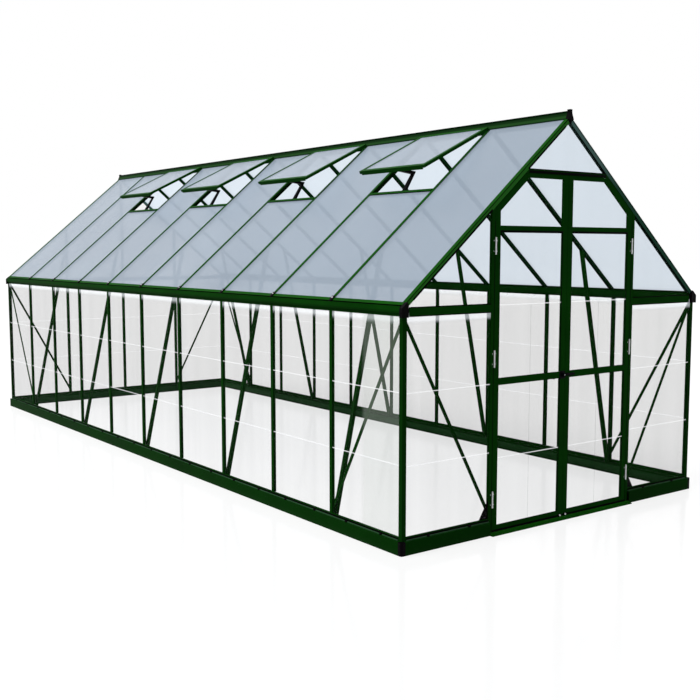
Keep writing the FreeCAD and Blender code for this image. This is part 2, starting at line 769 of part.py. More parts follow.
# Threshold: ramp up to the doors, flat under the jambs
sill_shape = [
    ("-sill_reach", "0"), ("base_depth", "0"), ("base_depth", "sill_height"), ("0", "sill_height"),
    ("-sill_reach", "sill_nose"),
]
threshold = body("threshold", y="-frame_length / 2")
pad(threshold, "ramp", outline(threshold, "ramp_shape", "YZ_Plane", sill_shape), f"2 * {jamb_edge}", True)
node(threshold, "door_threshold")

# Sheets of the long walls
slot_middle = "(profile_wall + slot_gap / 2 - sheet_thickness / 2)"
sheet_foot = "(base_height + profile_wall)"
sheet_height = f"({gutter_bottom} - edge_gap - {sheet_foot})"
web_reach = "(web_width / 2 + edge_gap)"
wall_x = f"-frame_width / 2 + wall_inset + {slot_middle}"
bay_sheet = box(
    "bay_sheet", ("sheet_thickness", f"{pitch} - 2 * {web_reach}", sheet_height),
    x=wall_x, y=f"{front_line} + {pitch} + {web_reach}", z=sheet_foot)
end_start = f"({post_edge} - slot_depth + edge_gap)"
end_width = f"{front_line} + frame_length / 2 + {pitch} - {web_reach} - {end_start}"
end_sheet = box(
    "end_sheet", ("sheet_thickness", end_width, sheet_height),
    x=wall_x, y=f"{end_start} - frame_length / 2", z=sheet_foot)
wall_sheets = [end_sheet, mirrored(end_sheet, "end_sheet_back", True), bay_sheet]
wall_sheets += [copy(bay_sheet, f"bay_sheet_{bay}", y=f"{bay} * {pitch}") for bay in range(1, bay_count - 2)]
wall_left = node(group("wall_sheets", wall_sheets), "wall_panels_left")
node(mirrored(wall_left, "wall_sheets_right"), "wall_panels_right")


# Sheets of the gables, cut to the roof slope and tucked into the hollow of the gable rafters; the low
# outer sheets are notched round the eave connectors
def gable_sheet(name, shape):
    item = body(name, y=f"{door_face} + {slot_middle} + sheet_thickness / 2")
    pad(item, name + "_sheet", outline(item, name + "_shape", "XZ_Plane", shape), "sheet_thickness", True)
    return item


tuck = "(rafter_depth - gable_tuck)"
tie_slot_low = f"({tie_bottom} + tie_height / 2 - web_width / 2 - edge_gap)"
tie_slot_high = f"({tie_bottom} + tie_height / 2 + web_width / 2)"
gable_start = f"(frame_width / 2 - {end_start})"
upper_start = f"(-({bite_x}) - edge_gap)"
pane_edge = f"({jamb_edge} - slot_depth + edge_gap)"
outer_pane = f"({outer_edge} - slot_depth + edge_gap)"
inner_pane = f"({inner_edge} + slot_depth - edge_gap)"
middle_pane = "(stud_width / 2 - slot_depth + edge_gap)"


def notched_pane(end):
    notch = f"{post_top} - edge_gap"
    return [
        (f"-{gable_start}", sheet_foot), (f"-{end}", sheet_foot), (f"-{end}", tie_slot_low),
        (f"-{upper_start}", tie_slot_low), (f"-{upper_start}", notch), (f"-{gable_start}", notch),
    ]


def high_pane(start, end):
    return [
        (f"-{start}", tie_slot_high), (f"-{end}", tie_slot_high), (f"-{end}", under_roof(end, tuck)),
        (f"-{start}", under_roof(start, tuck)),
    ]


front_low = gable_sheet("front_low", notched_pane(pane_edge))
front_high = gable_sheet("front_high", high_pane(upper_start, pane_edge))
top_foot = f"({header_top} - header_slot)"
top_end = f"({apex} - stem_drop - edge_gap)"
top_wide = outward_at(top_foot, tuck)
top_narrow = outward_at(top_end, tuck)
front_top = gable_sheet("front_top", [
    (f"-{top_wide}", top_foot), (top_wide, top_foot), (top_narrow, top_end), (f"-{top_narrow}", top_end)])
front_sheets = [left_and_right(front_low, "front_low"), left_and_right(front_high, "front_high"), front_top]
node(group("front_sheets", front_sheets), "front_panels")

back_shapes = {
    "back_low_outer": notched_pane(outer_pane),
    "back_low_inner": [
        (f"-{inner_pane}", sheet_foot), (f"-{middle_pane}", sheet_foot), (f"-{middle_pane}", tie_slot_low),
        (f"-{inner_pane}", tie_slot_low),
    ],
    "back_high_outer": high_pane(upper_start, outer_pane),
    "back_high_inner": high_pane(inner_pane, middle_pane),
}
back_sheets = []
for name, shape in back_shapes.items():
    sheet = mirrored(gable_sheet(name, shape), name + "_back", True)
    back_sheets.append(left_and_right(sheet, name))
node(group("back_sheets", back_sheets), "back_panels")


# Roof sheets lie on the inner flanges of rafters, trim and ridge
def roof_sheet(name, bay, top):
    start = "(roof_edge + profile_wall + edge_gap)"
    size = (f"{slope_length} - {top} - {start}", f"{pitch} - 2 * {web_reach}", "roof_sheet")
    across = f"{front_line} + {bay} * {pitch} + {web_reach}"
    return box(name, size, **tilted(slope, start, f"-{seat}", across))


full_top = "(ridge_web + edge_gap)"
short_top = f"({crossbar_end} - panel_lap)"
vent_bays = [2 * number + 1 for number in range(vent_count)]
right_sheets = [roof_sheet(f"right_sheet_{bay}", bay, full_top) for bay in range(bay_count)]
node(mirrored(group("right_sheets", right_sheets), "roof_right"), "roof_panels_right")
left_sheets = []
for bay in range(bay_count):
    left_sheets.append(roof_sheet(f"left_sheet_{bay}", bay, short_top if bay in vent_bays else full_top))
node(group("left_sheets", left_sheets), "roof_panels_left")

# Crossbars under the lower edge of each vent; the short roof sheets lie on them, under a cover strip
crossbar_run = f"({slope_length} - {crossbar_end})"
strip_run = f"({slope_length} - {short_top} - 2 * edge_gap - strip_width)"
crossbars = []
for bay in vent_bays:
    across = f"{front_line} + {bay} * {pitch} + stud_width / 2"
    spot = tilted(slope, crossbar_run, f"-{seat} - crossbar_depth", across)
    bar_size = ("crossbar_width", f"{pitch} - stud_width", "crossbar_depth")
    crossbars.append(box(f"crossbar_{bay}", bar_size, **spot))
    spot = tilted(slope, strip_run, f"roof_sheet - {seat}", across)
    strip_size = ("strip_width", f"{pitch} - stud_width", "strip_height")
    crossbars.append(box(f"cover_strip_{bay}", strip_size, **spot))
node(group("crossbars", crossbars), "vent_crossbars")


# Vent: shallow tray turned over, hinged on two stubs near the ridge, drawn propped open
def lid_box(name, run, length, across, width, rise, height):
    return box(name, (length, width, height), **tilted(lid, run, rise, f"{first_vent} + {across}"))


def lid_rod(name, radius, run, rise, across, length):
    x, z = point(lid, run, rise)
    return rod(name, radius, length, x=x, y=f"{first_vent} + {across}", z=z, axis="1; 0; 0", angle="-90")


lower_edge = "(vent_axis_back - vent_length)"
underside = "(-vent_axis_height)"
tray = lid_box("tray", lower_edge, "vent_length", f"-{vent_width} / 2", vent_width, underside, "vent_height")
hollow = lid_box(
    "hollow", f"{lower_edge} + vent_wall", "vent_length - 2 * vent_wall", f"vent_wall - {vent_width} / 2",
    f"{vent_width} - 2 * vent_wall", underside, "vent_height - vent_wall")
window = lid_box(
    "window", f"{lower_edge} + vent_border", "vent_length - 2 * vent_border",
    f"vent_border - {vent_width} / 2", f"{vent_width} - 2 * vent_border", underside, "2 * vent_height")
lip_half = f"({pitch} / 2 - stud_width / 2 - ear_gap)"
lip = lid_box(
    "lip", lower_edge, "lip_thickness", f"-{lip_half}", f"2 * {lip_half}", f"{underside} - lip_fall",
    "lip_fall + edge_gap")
ear_near = "(stay_width / 2 + ear_gap)"
ear_far = "(stay_width / 2 + ear_gap + ear_thickness)"
ear_size = (f"{underside} - ear_margin", "ear_margin + ear_rise")
ears = [
    lid_box("ear_a", lower_edge, "pivot_back + ear_margin", ear_near, "ear_thickness", *ear_size),
    lid_box("ear_b", lower_edge, "pivot_back + ear_margin", f"-{ear_far}", "ear_thickness", *ear_size),
]
pivot_run = f"({lower_edge} + pivot_back)"
pivot_rise = f"({underside} - pivot_fall)"
pivot_pin = lid_rod("pivot_pin", "pivot_radius", pivot_run, pivot_rise, f"-{ear_far}", f"2 * {ear_far}")
stub_reach = "(vent_wall + edge_gap + lug_thickness)"
stubs = [
    lid_rod("stub_a", "stub_radius", "0", "0", f"{vent_width} / 2 - vent_wall", stub_reach),
    lid_rod("stub_b", "stub_radius", "0", "0", f"vent_wall - {vent_width} / 2 - {stub_reach}", stub_reach),
]
open_tray = cut("open_tray", cut("hollow_tray", tray, hollow), window)
vent_frame = joined("vent_frame", [open_tray, lip, pivot_pin] + ears + stubs)
sheet_size = ("vent_length - 2 * vent_wall - 2 * edge_gap", f"{vent_width} - 2 * vent_wall - 2 * edge_gap")
vent_sheet = lid_box(
    "vent_sheet", f"{lower_edge} + vent_wall + edge_gap", sheet_size[0],
    f"vent_wall + edge_gap - {vent_width} / 2", sheet_size[1],
    f"{underside} + vent_height - vent_wall - roof_sheet", "roof_sheet")

# Stay: bent bar that hangs on the pivot pin and props its foot against the crossbar
stay_x, stay_z = point(lid, pivot_run, pivot_rise)
open_run = f"(({pivot_run}) * cos(vent_open) - ({pivot_rise}) * -sin(vent_open))"
open_rise = f"(({pivot_rise}) * cos(vent_open) - ({pivot_run}) * sin(vent_open))"
foot_x = f"({slope_length} - crossbar_start - {axis_run} - {open_run} + fit_gap)"
foot_z = f"(-{seat} - crossbar_depth / 2 - vent_lift - vent_axis_height - {open_rise})"
elbow = "(stay_bend_run + stay_elbow)"
stay_shape = [
    ("-stay_half", "0"), ("stay_half", "0"),
    (f"{elbow} - 0.69 * stay_round", "0.72 * stay_round - stay_bend_fall"),
    (f"{elbow} - 0.2 * stay_round", "-stay_bend_fall - 0.1 * stay_round"),
    (f"{elbow} - 0.95 * stay_round", "-stay_bend_fall - 0.45 * stay_round"),
    (foot_x, f"{foot_z} - stay_foot"), (foot_x, f"{foot_z} + stay_foot"),
    ("stay_bend_run - stay_elbow", "-stay_bend_fall"),
]
stay = body("stay", x=stay_x, y=first_vent, z=stay_z, axis="0; 1; 0", angle="-roof_angle")
pad(stay, "stay_bar", outline(stay, "stay_shape", "XZ_Plane", stay_shape), "stay_width", True)
pad(stay, "stay_eye", circles(stay, "eye_shape", "XZ_Plane", "stay_eye", ("0", "0")), "stay_width", True)
pivot_hole = "2 * pivot_radius + 2 * pin_gap"
pocket(stay, "stay_hole", circles(stay, "hole_shape", "XZ_Plane", pivot_hole, ("0", "0")))

for number in range(vent_count):
    for source, label in ((vent_frame, "vent_frame"), (vent_sheet, "vent_panel"), (stay, "vent_stay")):
        item = copy(source, f"{label}_copy_{number}", y=f"{2 * number} * {pitch}") if number else source
        node(item, f"{label}_{number + 1}")

# Lugs on the rafters beside each vent, bored for the stubs
lug_spot = f"({vent_width} / 2 + edge_gap)"
lug = box(
    "lug", ("lug_length", "lug_thickness", "lug_height"),
    **tilted(slope, f"{axis_run} - lug_length / 2", "0", f"{first_vent} + {lug_spot}"))
lug_twin = box(
    "lug_twin", ("lug_length", "lug_thickness", "lug_height"),
    **tilted(slope, f"{axis_run} - lug_length / 2", "0", f"{first_vent} - {lug_spot} - lug_thickness"))
lug_bore = lid_rod("lug_bore", "stub_radius + pin_gap", "0", "0", f"-{vent_width}", f"2 * {vent_width}")
lug_pair = cut("lug_pair", group("lug_blocks", [lug, lug_twin]), lug_bore)
lug_pairs = [lug_pair]
for number in range(1, vent_count):
    lug_pairs.append(copy(lug_pair, f"lug_pair_{number}", y=f"{2 * number} * {pitch}"))
node(group("lug_pairs", lug_pairs), "vent_hinge_lugs")

# Door leaf: thin skin in front, deeper frame behind it, so the sheets lie in a rebate
slope_depth = "(rafter_depth + slope_gap)"
leaf_edge = "(leaf_gap / 2)"
leaf_shape = [
    ("-door_half", door_foot), (f"-{leaf_edge}", door_foot), (f"-{leaf_edge}", door_top),
    (f"-{outward_at(door_top, slope_depth)}", door_top),
    ("-door_half", under_roof("door_half", slope_depth)),
]


def leaf_windows(margin):
    outer = f"(door_half - stile_width + {margin})"
    inner = f"(leaf_gap / 2 + meeting_stile - {margin})"
    head = f"({door_top} - top_rail + {margin})"
    inside = f"({slope_depth} + slope_rail - {margin})"
    spans = (
        (f"{door_foot} + bottom_rail - {margin}", f"mid_rail_base + {margin}"),
        (f"mid_rail_base + rail_width - {margin}", f"{upper_rail} + {margin}"),
    )
    loops = []
    for low, high in spans:
        loops.append([(f"-{outer}", low), (f"-{inner}", low), (f"-{inner}", high), (f"-{outer}", high)])
    top_low = f"{upper_rail} + rail_width - {margin}"
    loops.append([
        (f"-{outer}", top_low), (f"-{inner}", top_low), (f"-{inner}", head),
        (f"-{outward_at(head, inside)}", head), (f"-{outer}", under_roof(outer, inside)),
    ])
    return loops


door = body("door", y=door_face)
skin_shape = outline(door, "skin_shape", "XZ_Plane", leaf_shape, *leaf_windows("0"), offset="-door_skin / 2")
pad(door, "skin", skin_shape, "door_skin", True)
depth_shape = outline(
    door, "depth_shape", "XZ_Plane", leaf_shape, *leaf_windows("rebate"),
    offset="-(door_skin + door_depth) / 2")
pad(door, "depth", depth_shape, "door_depth - door_skin", True)
spindle_spot = ("-handle_inset", "handle_height")
spindle_hole = circles(door, "spindle_hole", "XZ_Plane", "2 * spindle_radius + 2 * pin_gap", spindle_spot)
pocket(door, "spindle_bore", spindle_hole)
node(door, "door_left_frame")
node(mirrored(door, "door_right"), "door_right_frame")
pane_set = body("pane_set", y=door_face)
pane_shape = outline(
    pane_set, "pane_shape", "XZ_Plane", *leaf_windows("(rebate - edge_gap)"),
    offset="-door_skin - sheet_thickness / 2")
pad(pane_set, "panes", pane_shape, "sheet_thickness", True)
node(pane_set, "door_left_panels")
node(mirrored(pane_set, "pane_set_right"), "door_right_panels")

# Door hinges: fixed leaf with two knuckles, moving leaf with the middle knuckle, pin
hinge_x = "-(door_half + hinge_gap / 2)"
hinge_y = f"({door_face} - knuckle_radius - fit_gap)"
third = "(hinge_length / 3)"
plate_width = "(knuckle_radius + fit_gap + hinge_reach)"


def knuckle(name, radius, start, length):
    return rod(name, radius, length, x=hinge_x, y=hinge_y, z=f"hinge_low + {start}")


room = "knuckle_radius + fit_gap"
plate_size = ("hinge_plate", plate_width, "hinge_length")
fixed_plate = box("fixed_plate", plate_size, x="-door_half - hinge_gap", y=hinge_y, z="hinge_low")
fixed_barrel = knuckle("fixed_barrel", "knuckle_radius", "0", "hinge_length")
fixed_blank = joined("fixed_blank", [fixed_plate, fixed_barrel])
fixed_tools = joined("fixed_tools", [
    knuckle("middle_room", room, third, third),
    knuckle("fixed_bore", "hinge_pin + pin_gap", "0", "hinge_length"),
])
fixed_leaf = cut("fixed_leaf", fixed_blank, fixed_tools)
moving_plate = box("moving_plate", plate_size, x="-door_half - hinge_plate", y=hinge_y, z="hinge_low")
moving_barrel = knuckle("moving_barrel", "knuckle_radius", f"{third} + fit_gap", f"{third} - 2 * fit_gap")
moving_blank = joined("moving_blank", [moving_plate, moving_barrel])
moving_tools = joined("moving_tools", [
    knuckle("low_room", room, "0", f"{third} + fit_gap"),
    knuckle("high_room", room, f"2 * {third} - fit_gap", f"{third} + fit_gap"),
    knuckle("moving_bore", "hinge_pin + pin_gap", "0", "hinge_length"),
])
moving_leaf = cut("moving_leaf", moving_blank, moving_tools)
hinge_pin = knuckle("hinge_pin", "hinge_pin", "0", "hinge_length")


def three_high(source, name):
    middle = copy(source, name + "_middle", z="hinge_middle - hinge_low")
    high = copy(source, name + "_high", z=f"{door_top} - hinge_drop - hinge_low")
    return group(name + "_three", [source, middle, high])


node(left_and_right(three_high(fixed_leaf, "fixed_leaf"), "fixed_leaves"), "door_hinge_leaves_fixed")
node(left_and_right(three_high(hinge_pin, "pin"), "pins"), "door_hinge_pins")
moving_leaves = node(three_high(moving_leaf, "moving_leaf"), "door_left_hinge_leaves")
node(mirrored(moving_leaves, "moving_leaves_right"), "door_right_hinge_leaves")

# Turn handle on the left leaf: rose, knob with a short lever, spindle, thumb bar inside
along_y = {"x": "-handle_inset", "z": "handle_height", "axis": "1; 0; 0", "angle": "-90"}
rose_disc = rod("rose_disc", "rose_radius", "rose_thickness", y=f"{door_face} - rose_thickness", **along_y)
rose_bore = rod("rose_bore", "spindle_radius + pin_gap", "4 * rose_thickness",
                y=f"{door_face} - 2 * rose_thickness", **along_y)
node(cut("rose", rose_disc, rose_bore), "door_handle_rose")
knob_back = f"({door_face} - rose_thickness - fit_gap)"
thumb_front = f"({door_face} + door_depth + fit_gap)"
knob = rod("knob", "knob_radius", "knob_length", y=f"{knob_back} - knob_length", **along_y)
lever = box("lever", ("handle_inset - leaf_gap", "knob_length / 2", "lever_height"), x="-handle_inset",
            y=f"{knob_back} - knob_length", z="handle_height - lever_height / 2")
spindle_length = f"{thumb_front} - {knob_back} + thumb_thickness"
spindle = rod("spindle", "spindle_radius", spindle_length, y=knob_back, **along_y)
thumb_frame = ("-handle_inset", "handle_height", "(180 + thumb_angle)")
thumb = box("thumb", ("thumb_length", "thumb_thickness", "thumb_width"),
            **tilted(thumb_frame, "-thumb_width / 2", "-thumb_width / 2", thumb_front))
node(joined("handle", [knob, lever, spindle, thumb]), "door_handle")

# Keeper bar on the right leaf, foot plugs on both meeting stiles
keeper_size = ("keeper_length", "keeper_depth", "keeper_height")
keeper = box("keeper", keeper_size, x="leaf_gap", y=f"{door_face} - keeper_depth",
             z="handle_height - keeper_height / 2")
node(keeper, "door_keeper")
plug = box("plug", ("plug_width", "plug_depth", "plug_height"), x="-plug_width - 6 * leaf_gap",
           y=f"{door_face} - plug_depth", z="sill_height + edge_gap")
node(plug, "door_left_plug")
node(mirrored(plug, "plug_right"), "door_right_plug")

doc.recompute()
problems = [item.Label for item in doc.Objects if {"Invalid", "Error"} & set(item.State)]
shapes = {item.Label: Part.getShape(item) for item in nodes}
for label, shape in shapes.items():
    if shape.isNull() or not shape.isValid() or not shape.Solids:
        problems.append(label)
if problems:
    raise RuntimeError("not built: " + ", ".join(problems))

os.makedirs("parts", exist_ok=True)
for label, shape in shapes.items():
    shape.exportStep(f"parts/{label}.step")
    spread = shape.BoundBox
    size = f"{spread.XLength:.1f} x {spread.YLength:.1f} x {spread.ZLength:.1f}"
    print(f"{label}: {len(shape.Solids)} solids, {size}")
print(len(shapes), "pieces written")
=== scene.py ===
import json
import math

import bpy
from mathutils import Matrix, Vector


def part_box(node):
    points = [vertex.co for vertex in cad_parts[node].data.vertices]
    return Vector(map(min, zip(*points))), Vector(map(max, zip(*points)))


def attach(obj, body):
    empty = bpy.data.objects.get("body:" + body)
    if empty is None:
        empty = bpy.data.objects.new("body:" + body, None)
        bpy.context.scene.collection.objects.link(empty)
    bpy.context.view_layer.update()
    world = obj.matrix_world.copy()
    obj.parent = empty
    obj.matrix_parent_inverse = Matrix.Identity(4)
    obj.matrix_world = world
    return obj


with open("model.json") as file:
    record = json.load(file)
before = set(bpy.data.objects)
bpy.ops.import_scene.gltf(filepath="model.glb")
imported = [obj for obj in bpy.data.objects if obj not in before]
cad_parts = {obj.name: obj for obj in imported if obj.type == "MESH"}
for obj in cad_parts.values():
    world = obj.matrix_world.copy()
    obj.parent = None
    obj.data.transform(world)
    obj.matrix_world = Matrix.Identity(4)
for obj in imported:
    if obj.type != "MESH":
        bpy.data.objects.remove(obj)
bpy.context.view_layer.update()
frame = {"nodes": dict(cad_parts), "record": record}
nodes = frame["nodes"]
bpy.ops.object.select_all(action="DESELECT")
print("frame loaded:", len(nodes), "nodes")

# places shared by several pieces, in metres
house = {
    "halfWidth": 1.220, "eave": 1.261, "slope": math.radians(40.2), "middle": 0.011,
    "firstStud": -3.0215, "bay": 0.6065, "bays": 10,
    "ventFirst": -2.11175, "ventStep": 1.213, "vents": 4,
    "gableBay": (0.594, 1.177), "doorPane": (0.039, 0.532), "wallHalf": 3.018,
}
middle = house["middle"]
studLines = [house["firstStud"] + house["bay"] * k for k in range(house["bays"] + 1)]
innerStuds = studLines[1:-1]
ventLines = [house["ventFirst"] + house["ventStep"] * k for k in range(house["vents"])]
corners = [(sx, sy) for sx in (-1, 1) for sy in (-1, 1)]
doorLeaves = ((-1, "Left", "door_left"), (1, "Right", "door_right"))


# shader helpers

def newMaterial(name):
    material = bpy.data.materials.new(name)
    material.use_nodes = True
    return material, material.node_tree, material.node_tree.nodes["Principled BSDF"]


def addNode(tree, kind, **values):
    made = tree.nodes.new(kind)
    for key, value in values.items():
        if key in made.inputs:
            made.inputs[key].default_value = value
        else:
            setattr(made, key, value)
    return made


def newGroup(name, inputs, outputs):
    tree = bpy.data.node_groups.new(name, "ShaderNodeTree")
    for label, default in inputs:
        socket = tree.interface.new_socket(label, in_out="INPUT", socket_type="NodeSocketFloat")
        socket.default_value = default
    for label in outputs:
        tree.interface.new_socket(label, in_out="OUTPUT", socket_type="NodeSocketFloat")
    return tree, tree.nodes.new("NodeGroupInput"), tree.nodes.new("NodeGroupOutput")


def useGroup(tree, group, values):
    made = tree.nodes.new("ShaderNodeGroup")
    made.node_tree = group
    for key, value in values.items():
        made.inputs[key].default_value = value
    return made


def remap(tree, source, low, high, toLow, toHigh, smooth=False):
    made = tree.nodes.new("ShaderNodeMapRange")
    made.interpolation_type = "SMOOTHSTEP" if smooth else "LINEAR"
    for key, value in zip(("From Min", "From Max", "To Min", "To Max"), (low, high, toLow, toHigh)):
        if isinstance(value, (int, float)):
            made.inputs[key].default_value = value
        else:
            tree.links.new(value, made.inputs[key])
    tree.links.new(source, made.inputs["Value"])
    return made.outputs["Result"]


def combine(tree, operation, first, second):
    made = addNode(tree, "ShaderNodeMath", operation=operation)
    for socket, value in zip(made.inputs, (first, second)):
        if isinstance(value, (int, float)):
            socket.default_value = value
        else:
            tree.links.new(value, socket)
    return made.outputs[0]


def colourRamp(tree, source, stops):
    ramp = tree.nodes.new("ShaderNodeValToRGB")
    while len(ramp.color_ramp.elements) < len(stops):
        ramp.color_ramp.elements.new(0.5)
    for element, (place, colour) in zip(ramp.color_ramp.elements, stops):
        element.position = place
        element.color = (*colour, 1)
    tree.links.new(source, ramp.inputs["Fac"])
    return ramp.outputs["Color"]


# second is a fixed colour or another socket
def mixColour(tree, share, first, second):
    made = addNode(tree, "ShaderNodeMix", data_type="RGBA")
    tree.links.new(share, made.inputs[0])
    tree.links.new(first, made.inputs[6])
    if isinstance(second, tuple):
        made.inputs[7].default_value = (*second, 1)
    else:
        tree.links.new(second, made.inputs[7])
    return made.outputs[2]


def splitAxes(tree, source):
    made = tree.nodes.new("ShaderNodeSeparateXYZ")
    tree.links.new(source, made.inputs[0])
    return made.outputs


def objectPlace(tree):
    return tree.nodes.new("ShaderNodeTexCoord").outputs["Object"]


def faceNormal(tree):
    return splitAxes(tree, tree.nodes.new("ShaderNodeNewGeometry").outputs["True Normal"])


# 1 for rays that the eye, a gloss or a glass sends out
def seenDirectly(tree):
    path = tree.nodes.new("ShaderNodeLightPath")
    total = path.outputs["Is Camera Ray"]
    for kind in ("Is Glossy Ray", "Is Transmission Ray"):
        total = combine(tree, "MAXIMUM", total, path.outputs[kind])
    return total


# coat: Tone drifts over the lengths, Peel is the fine skin, Dust gathers near the ground,
# Shade marks the faces that don't look up, for painted shade, Front those that look along the house,
# Lee is the right half, away from the key light, Height is above the ground
coatMarks = {"dustTop": 0.05, "up": (0.2, 0.5), "along": (0.2, 0.5), "halves": (-0.01, 0.01)}
coatTree, coatIn, coatOut = newGroup(
    "coatTexture", [("Peel Scale", 900.0), ("Drift Scale", 3.0)],
    ["Tone", "Peel", "Dust", "Shade", "Front", "Lee", "Height"])
coatPlace = objectPlace(coatTree)
coatDrift = addNode(coatTree, "ShaderNodeTexNoise", Detail=4.0, Roughness=0.6)
coatPeel = addNode(coatTree, "ShaderNodeTexNoise", Detail=2.0)
for noise, scale, socket in ((coatDrift, "Drift Scale", "Tone"), (coatPeel, "Peel Scale", "Peel")):
    coatTree.links.new(coatPlace, noise.inputs["Vector"])
    coatTree.links.new(coatIn.outputs[scale], noise.inputs["Scale"])
    coatTree.links.new(noise.outputs["Fac"], coatOut.inputs[socket])
coatAxes = splitAxes(coatTree, coatPlace)
coatFacing = faceNormal(coatTree)
nearGround = remap(coatTree, coatAxes["Z"], 0.0, coatMarks["dustTop"], 1.0, 0.0, smooth=True)
alongHouse = combine(coatTree, "MULTIPLY", coatFacing["Y"], coatFacing["Y"])
coatMasks = {
    "Dust": combine(coatTree, "MULTIPLY", nearGround, coatDrift.outputs["Fac"]),
    "Shade": remap(coatTree, coatFacing["Z"], *coatMarks["up"], 1.0, 0.0),
    "Front": remap(coatTree, alongHouse, *coatMarks["along"], 0.0, 1.0),
    "Lee": remap(coatTree, coatAxes["X"], *coatMarks["halves"], 0.0, 1.0),
    "Height": coatAxes["Z"],
}
for socket, mask in coatMasks.items():
    coatTree.links.new(mask, coatOut.inputs[socket])

# how every coat uses the texture
coatUse = {"tone": (0.3, 0.7), "roughTone": (0.25, 0.75), "roughDrift": (-0.07, 0.08),
           "dust": (0.1, 0.8), "dustShare": 0.4, "reliefDepth": 0.0004}


def coatedMaterial(name, look):
    material, tree, shader = newMaterial(name)
    coat = useGroup(tree, coatTree, {"Peel Scale": look["peel"], "Drift Scale": look["drift"]})
    tone, height = coat.outputs["Tone"], coat.outputs["Height"]
    # painted light and shade set by height, in place of the drifting tone
    if "paintedShading" in look:
        colour = colourRamp(tree, remap(tree, height, *look["levels"], 0.0, 1.0), look["paintedShading"])
    else:
        colour = colourRamp(tree, tone, list(zip(coatUse["tone"], (look["dark"], look["light"]))))
    # painted shade: faces that don't look up take the darker shade colour
    if "shade" in look:
        colour = mixColour(tree, coat.outputs["Shade"], colour, look["shade"])
    # painted light on end faces: painted sunlight on the left half, and on the right half a painted
    # reflection that brightens with height
    if "paintedSunlight" in look:
        paintedReflection = colourRamp(tree, remap(tree, height, *look["levels"], 0.0, 1.0), look["paintedReflection"])
        lit = combine(tree, "SUBTRACT", 1.0, coat.outputs["Lee"])
        ends = mixColour(tree, lit, paintedReflection, look["paintedSunlight"])
        colour = mixColour(tree, coat.outputs["Front"], colour, ends)
    if "dust" in look:
        share = remap(tree, coat.outputs["Dust"], *coatUse["dust"], 0.0, coatUse["dustShare"])
        colour = mixColour(tree, share, colour, look["dust"])
    tree.links.new(colour, shader.inputs["Base Color"])
    roughEnds = [look["rough"] + drift for drift in coatUse["roughDrift"]]
    tree.links.new(remap(tree, tone, *coatUse["roughTone"], *roughEnds), shader.inputs["Roughness"])
    shader.inputs["IOR"].default_value = look["ior"]
    shader.inputs["Metallic"].default_value = look.get("metal", 0)
    shader.inputs["Alpha"].default_value = look.get("alpha", 1)
    relief = addNode(tree, "ShaderNodeBump", Strength=look["bump"], Distance=coatUse["reliefDepth"])
    tree.links.new(coat.outputs["Peel"], relief.inputs["Height"])
    tree.links.new(relief.outputs["Normal"], shader.inputs["Normal"])
    return material


# green powder coats: one skin, and tones for the places of the house; their shade colours are painted shade
# on faces that don't look up
skin = {"rough": 0.38, "ior": 1.05, "bump": 0.25, "peel": 700.0, "drift": 2.5}
baseSkin = {"rough": 0.38, "ior": 1.04, "bump": 0.2, "peel": 600.0, "drift": 2.0}
roofGreen = {"dark": (0.0042, 0.062, 0.0024), "light": (0.0070, 0.088, 0.0038)}
roofShade = (0.0030, 0.042, 0.0022)
greenPaint = coatedMaterial("greenPaint", {
    **skin, "dark": (0.0020, 0.033, 0.0016), "light": (0.0034, 0.050, 0.0026),
    "dust": (0.02, 0.05, 0.02), "rough": 0.40, "ior": 1.04})
roofPaint = coatedMaterial("roofPaint", {**skin, **roofGreen, "shade": roofShade})
# painted shade on the sides of the rafters: near black on the left slope and the vent crossbars, a lighter
# teal on the far right slope
rafterPaint = coatedMaterial("rafterPaint", {**skin, **roofGreen, "shade": (0.0006, 0.0080, 0.0005)})
farRafterPaint = coatedMaterial("farRafterPaint", {**skin, **roofGreen, "shade": (0.0024, 0.026, 0.0050)})
# gable rafters: painted shade on faces that don't look up, painted sunlight on the left rafter's end faces,
# and a painted teal reflection on the right one's, brighter towards the ridge
gablePaint = coatedMaterial("gablePaint", {
    **skin, **roofGreen, "shade": roofShade, "levels": (1.90, 2.05), "paintedSunlight": (0.024, 0.150, 0.018),
    "paintedReflection": [(0.0, (0.018, 0.070, 0.042)), (1.0, (0.095, 0.180, 0.160))]})
# painted light and shade by height, from the lower edge of the ridge flange up to its bead
# painted shade at the lower edge, a painted lit band on the flange, and painted shade darkening to near black
# at the bead
ridgePaint = coatedMaterial("ridgePaint", {
    **skin, "levels": (2.270, 2.322), "paintedShading": [
        (0.10, (0.0027, 0.020, 0.0045)), (0.20, (0.0150, 0.062, 0.0130)),
        (0.38, (0.0150, 0.062, 0.0130)), (0.50, (0.0060, 0.031, 0.0060)),
        (0.70, (0.0045, 0.024, 0.0050)), (0.76, (0.0010, 0.011, 0.0020))]})
basePaint = coatedMaterial("basePaint", {
    **baseSkin, "dark": (0.0018, 0.025, 0.0015), "light": (0.0028, 0.036, 0.0024),
    "dust": (0.012, 0.04, 0.012)})
# a lighter copy of the frame green: painted light on the inner faces of the base rails
linerPaint = coatedMaterial("linerPaint", {
    **skin, "dark": (0.0120, 0.058, 0.0130), "light": (0.0170, 0.074, 0.0180), "rough": 0.42})
# painted highlight: pale grey-green for the light caught on the base ledge
ledgeHighlightPaint = coatedMaterial("ledgeHighlightPaint", {
    **baseSkin, "dark": (0.022, 0.070, 0.028), "light": (0.036, 0.092, 0.044), "rough": 0.34, "ior": 1.10})

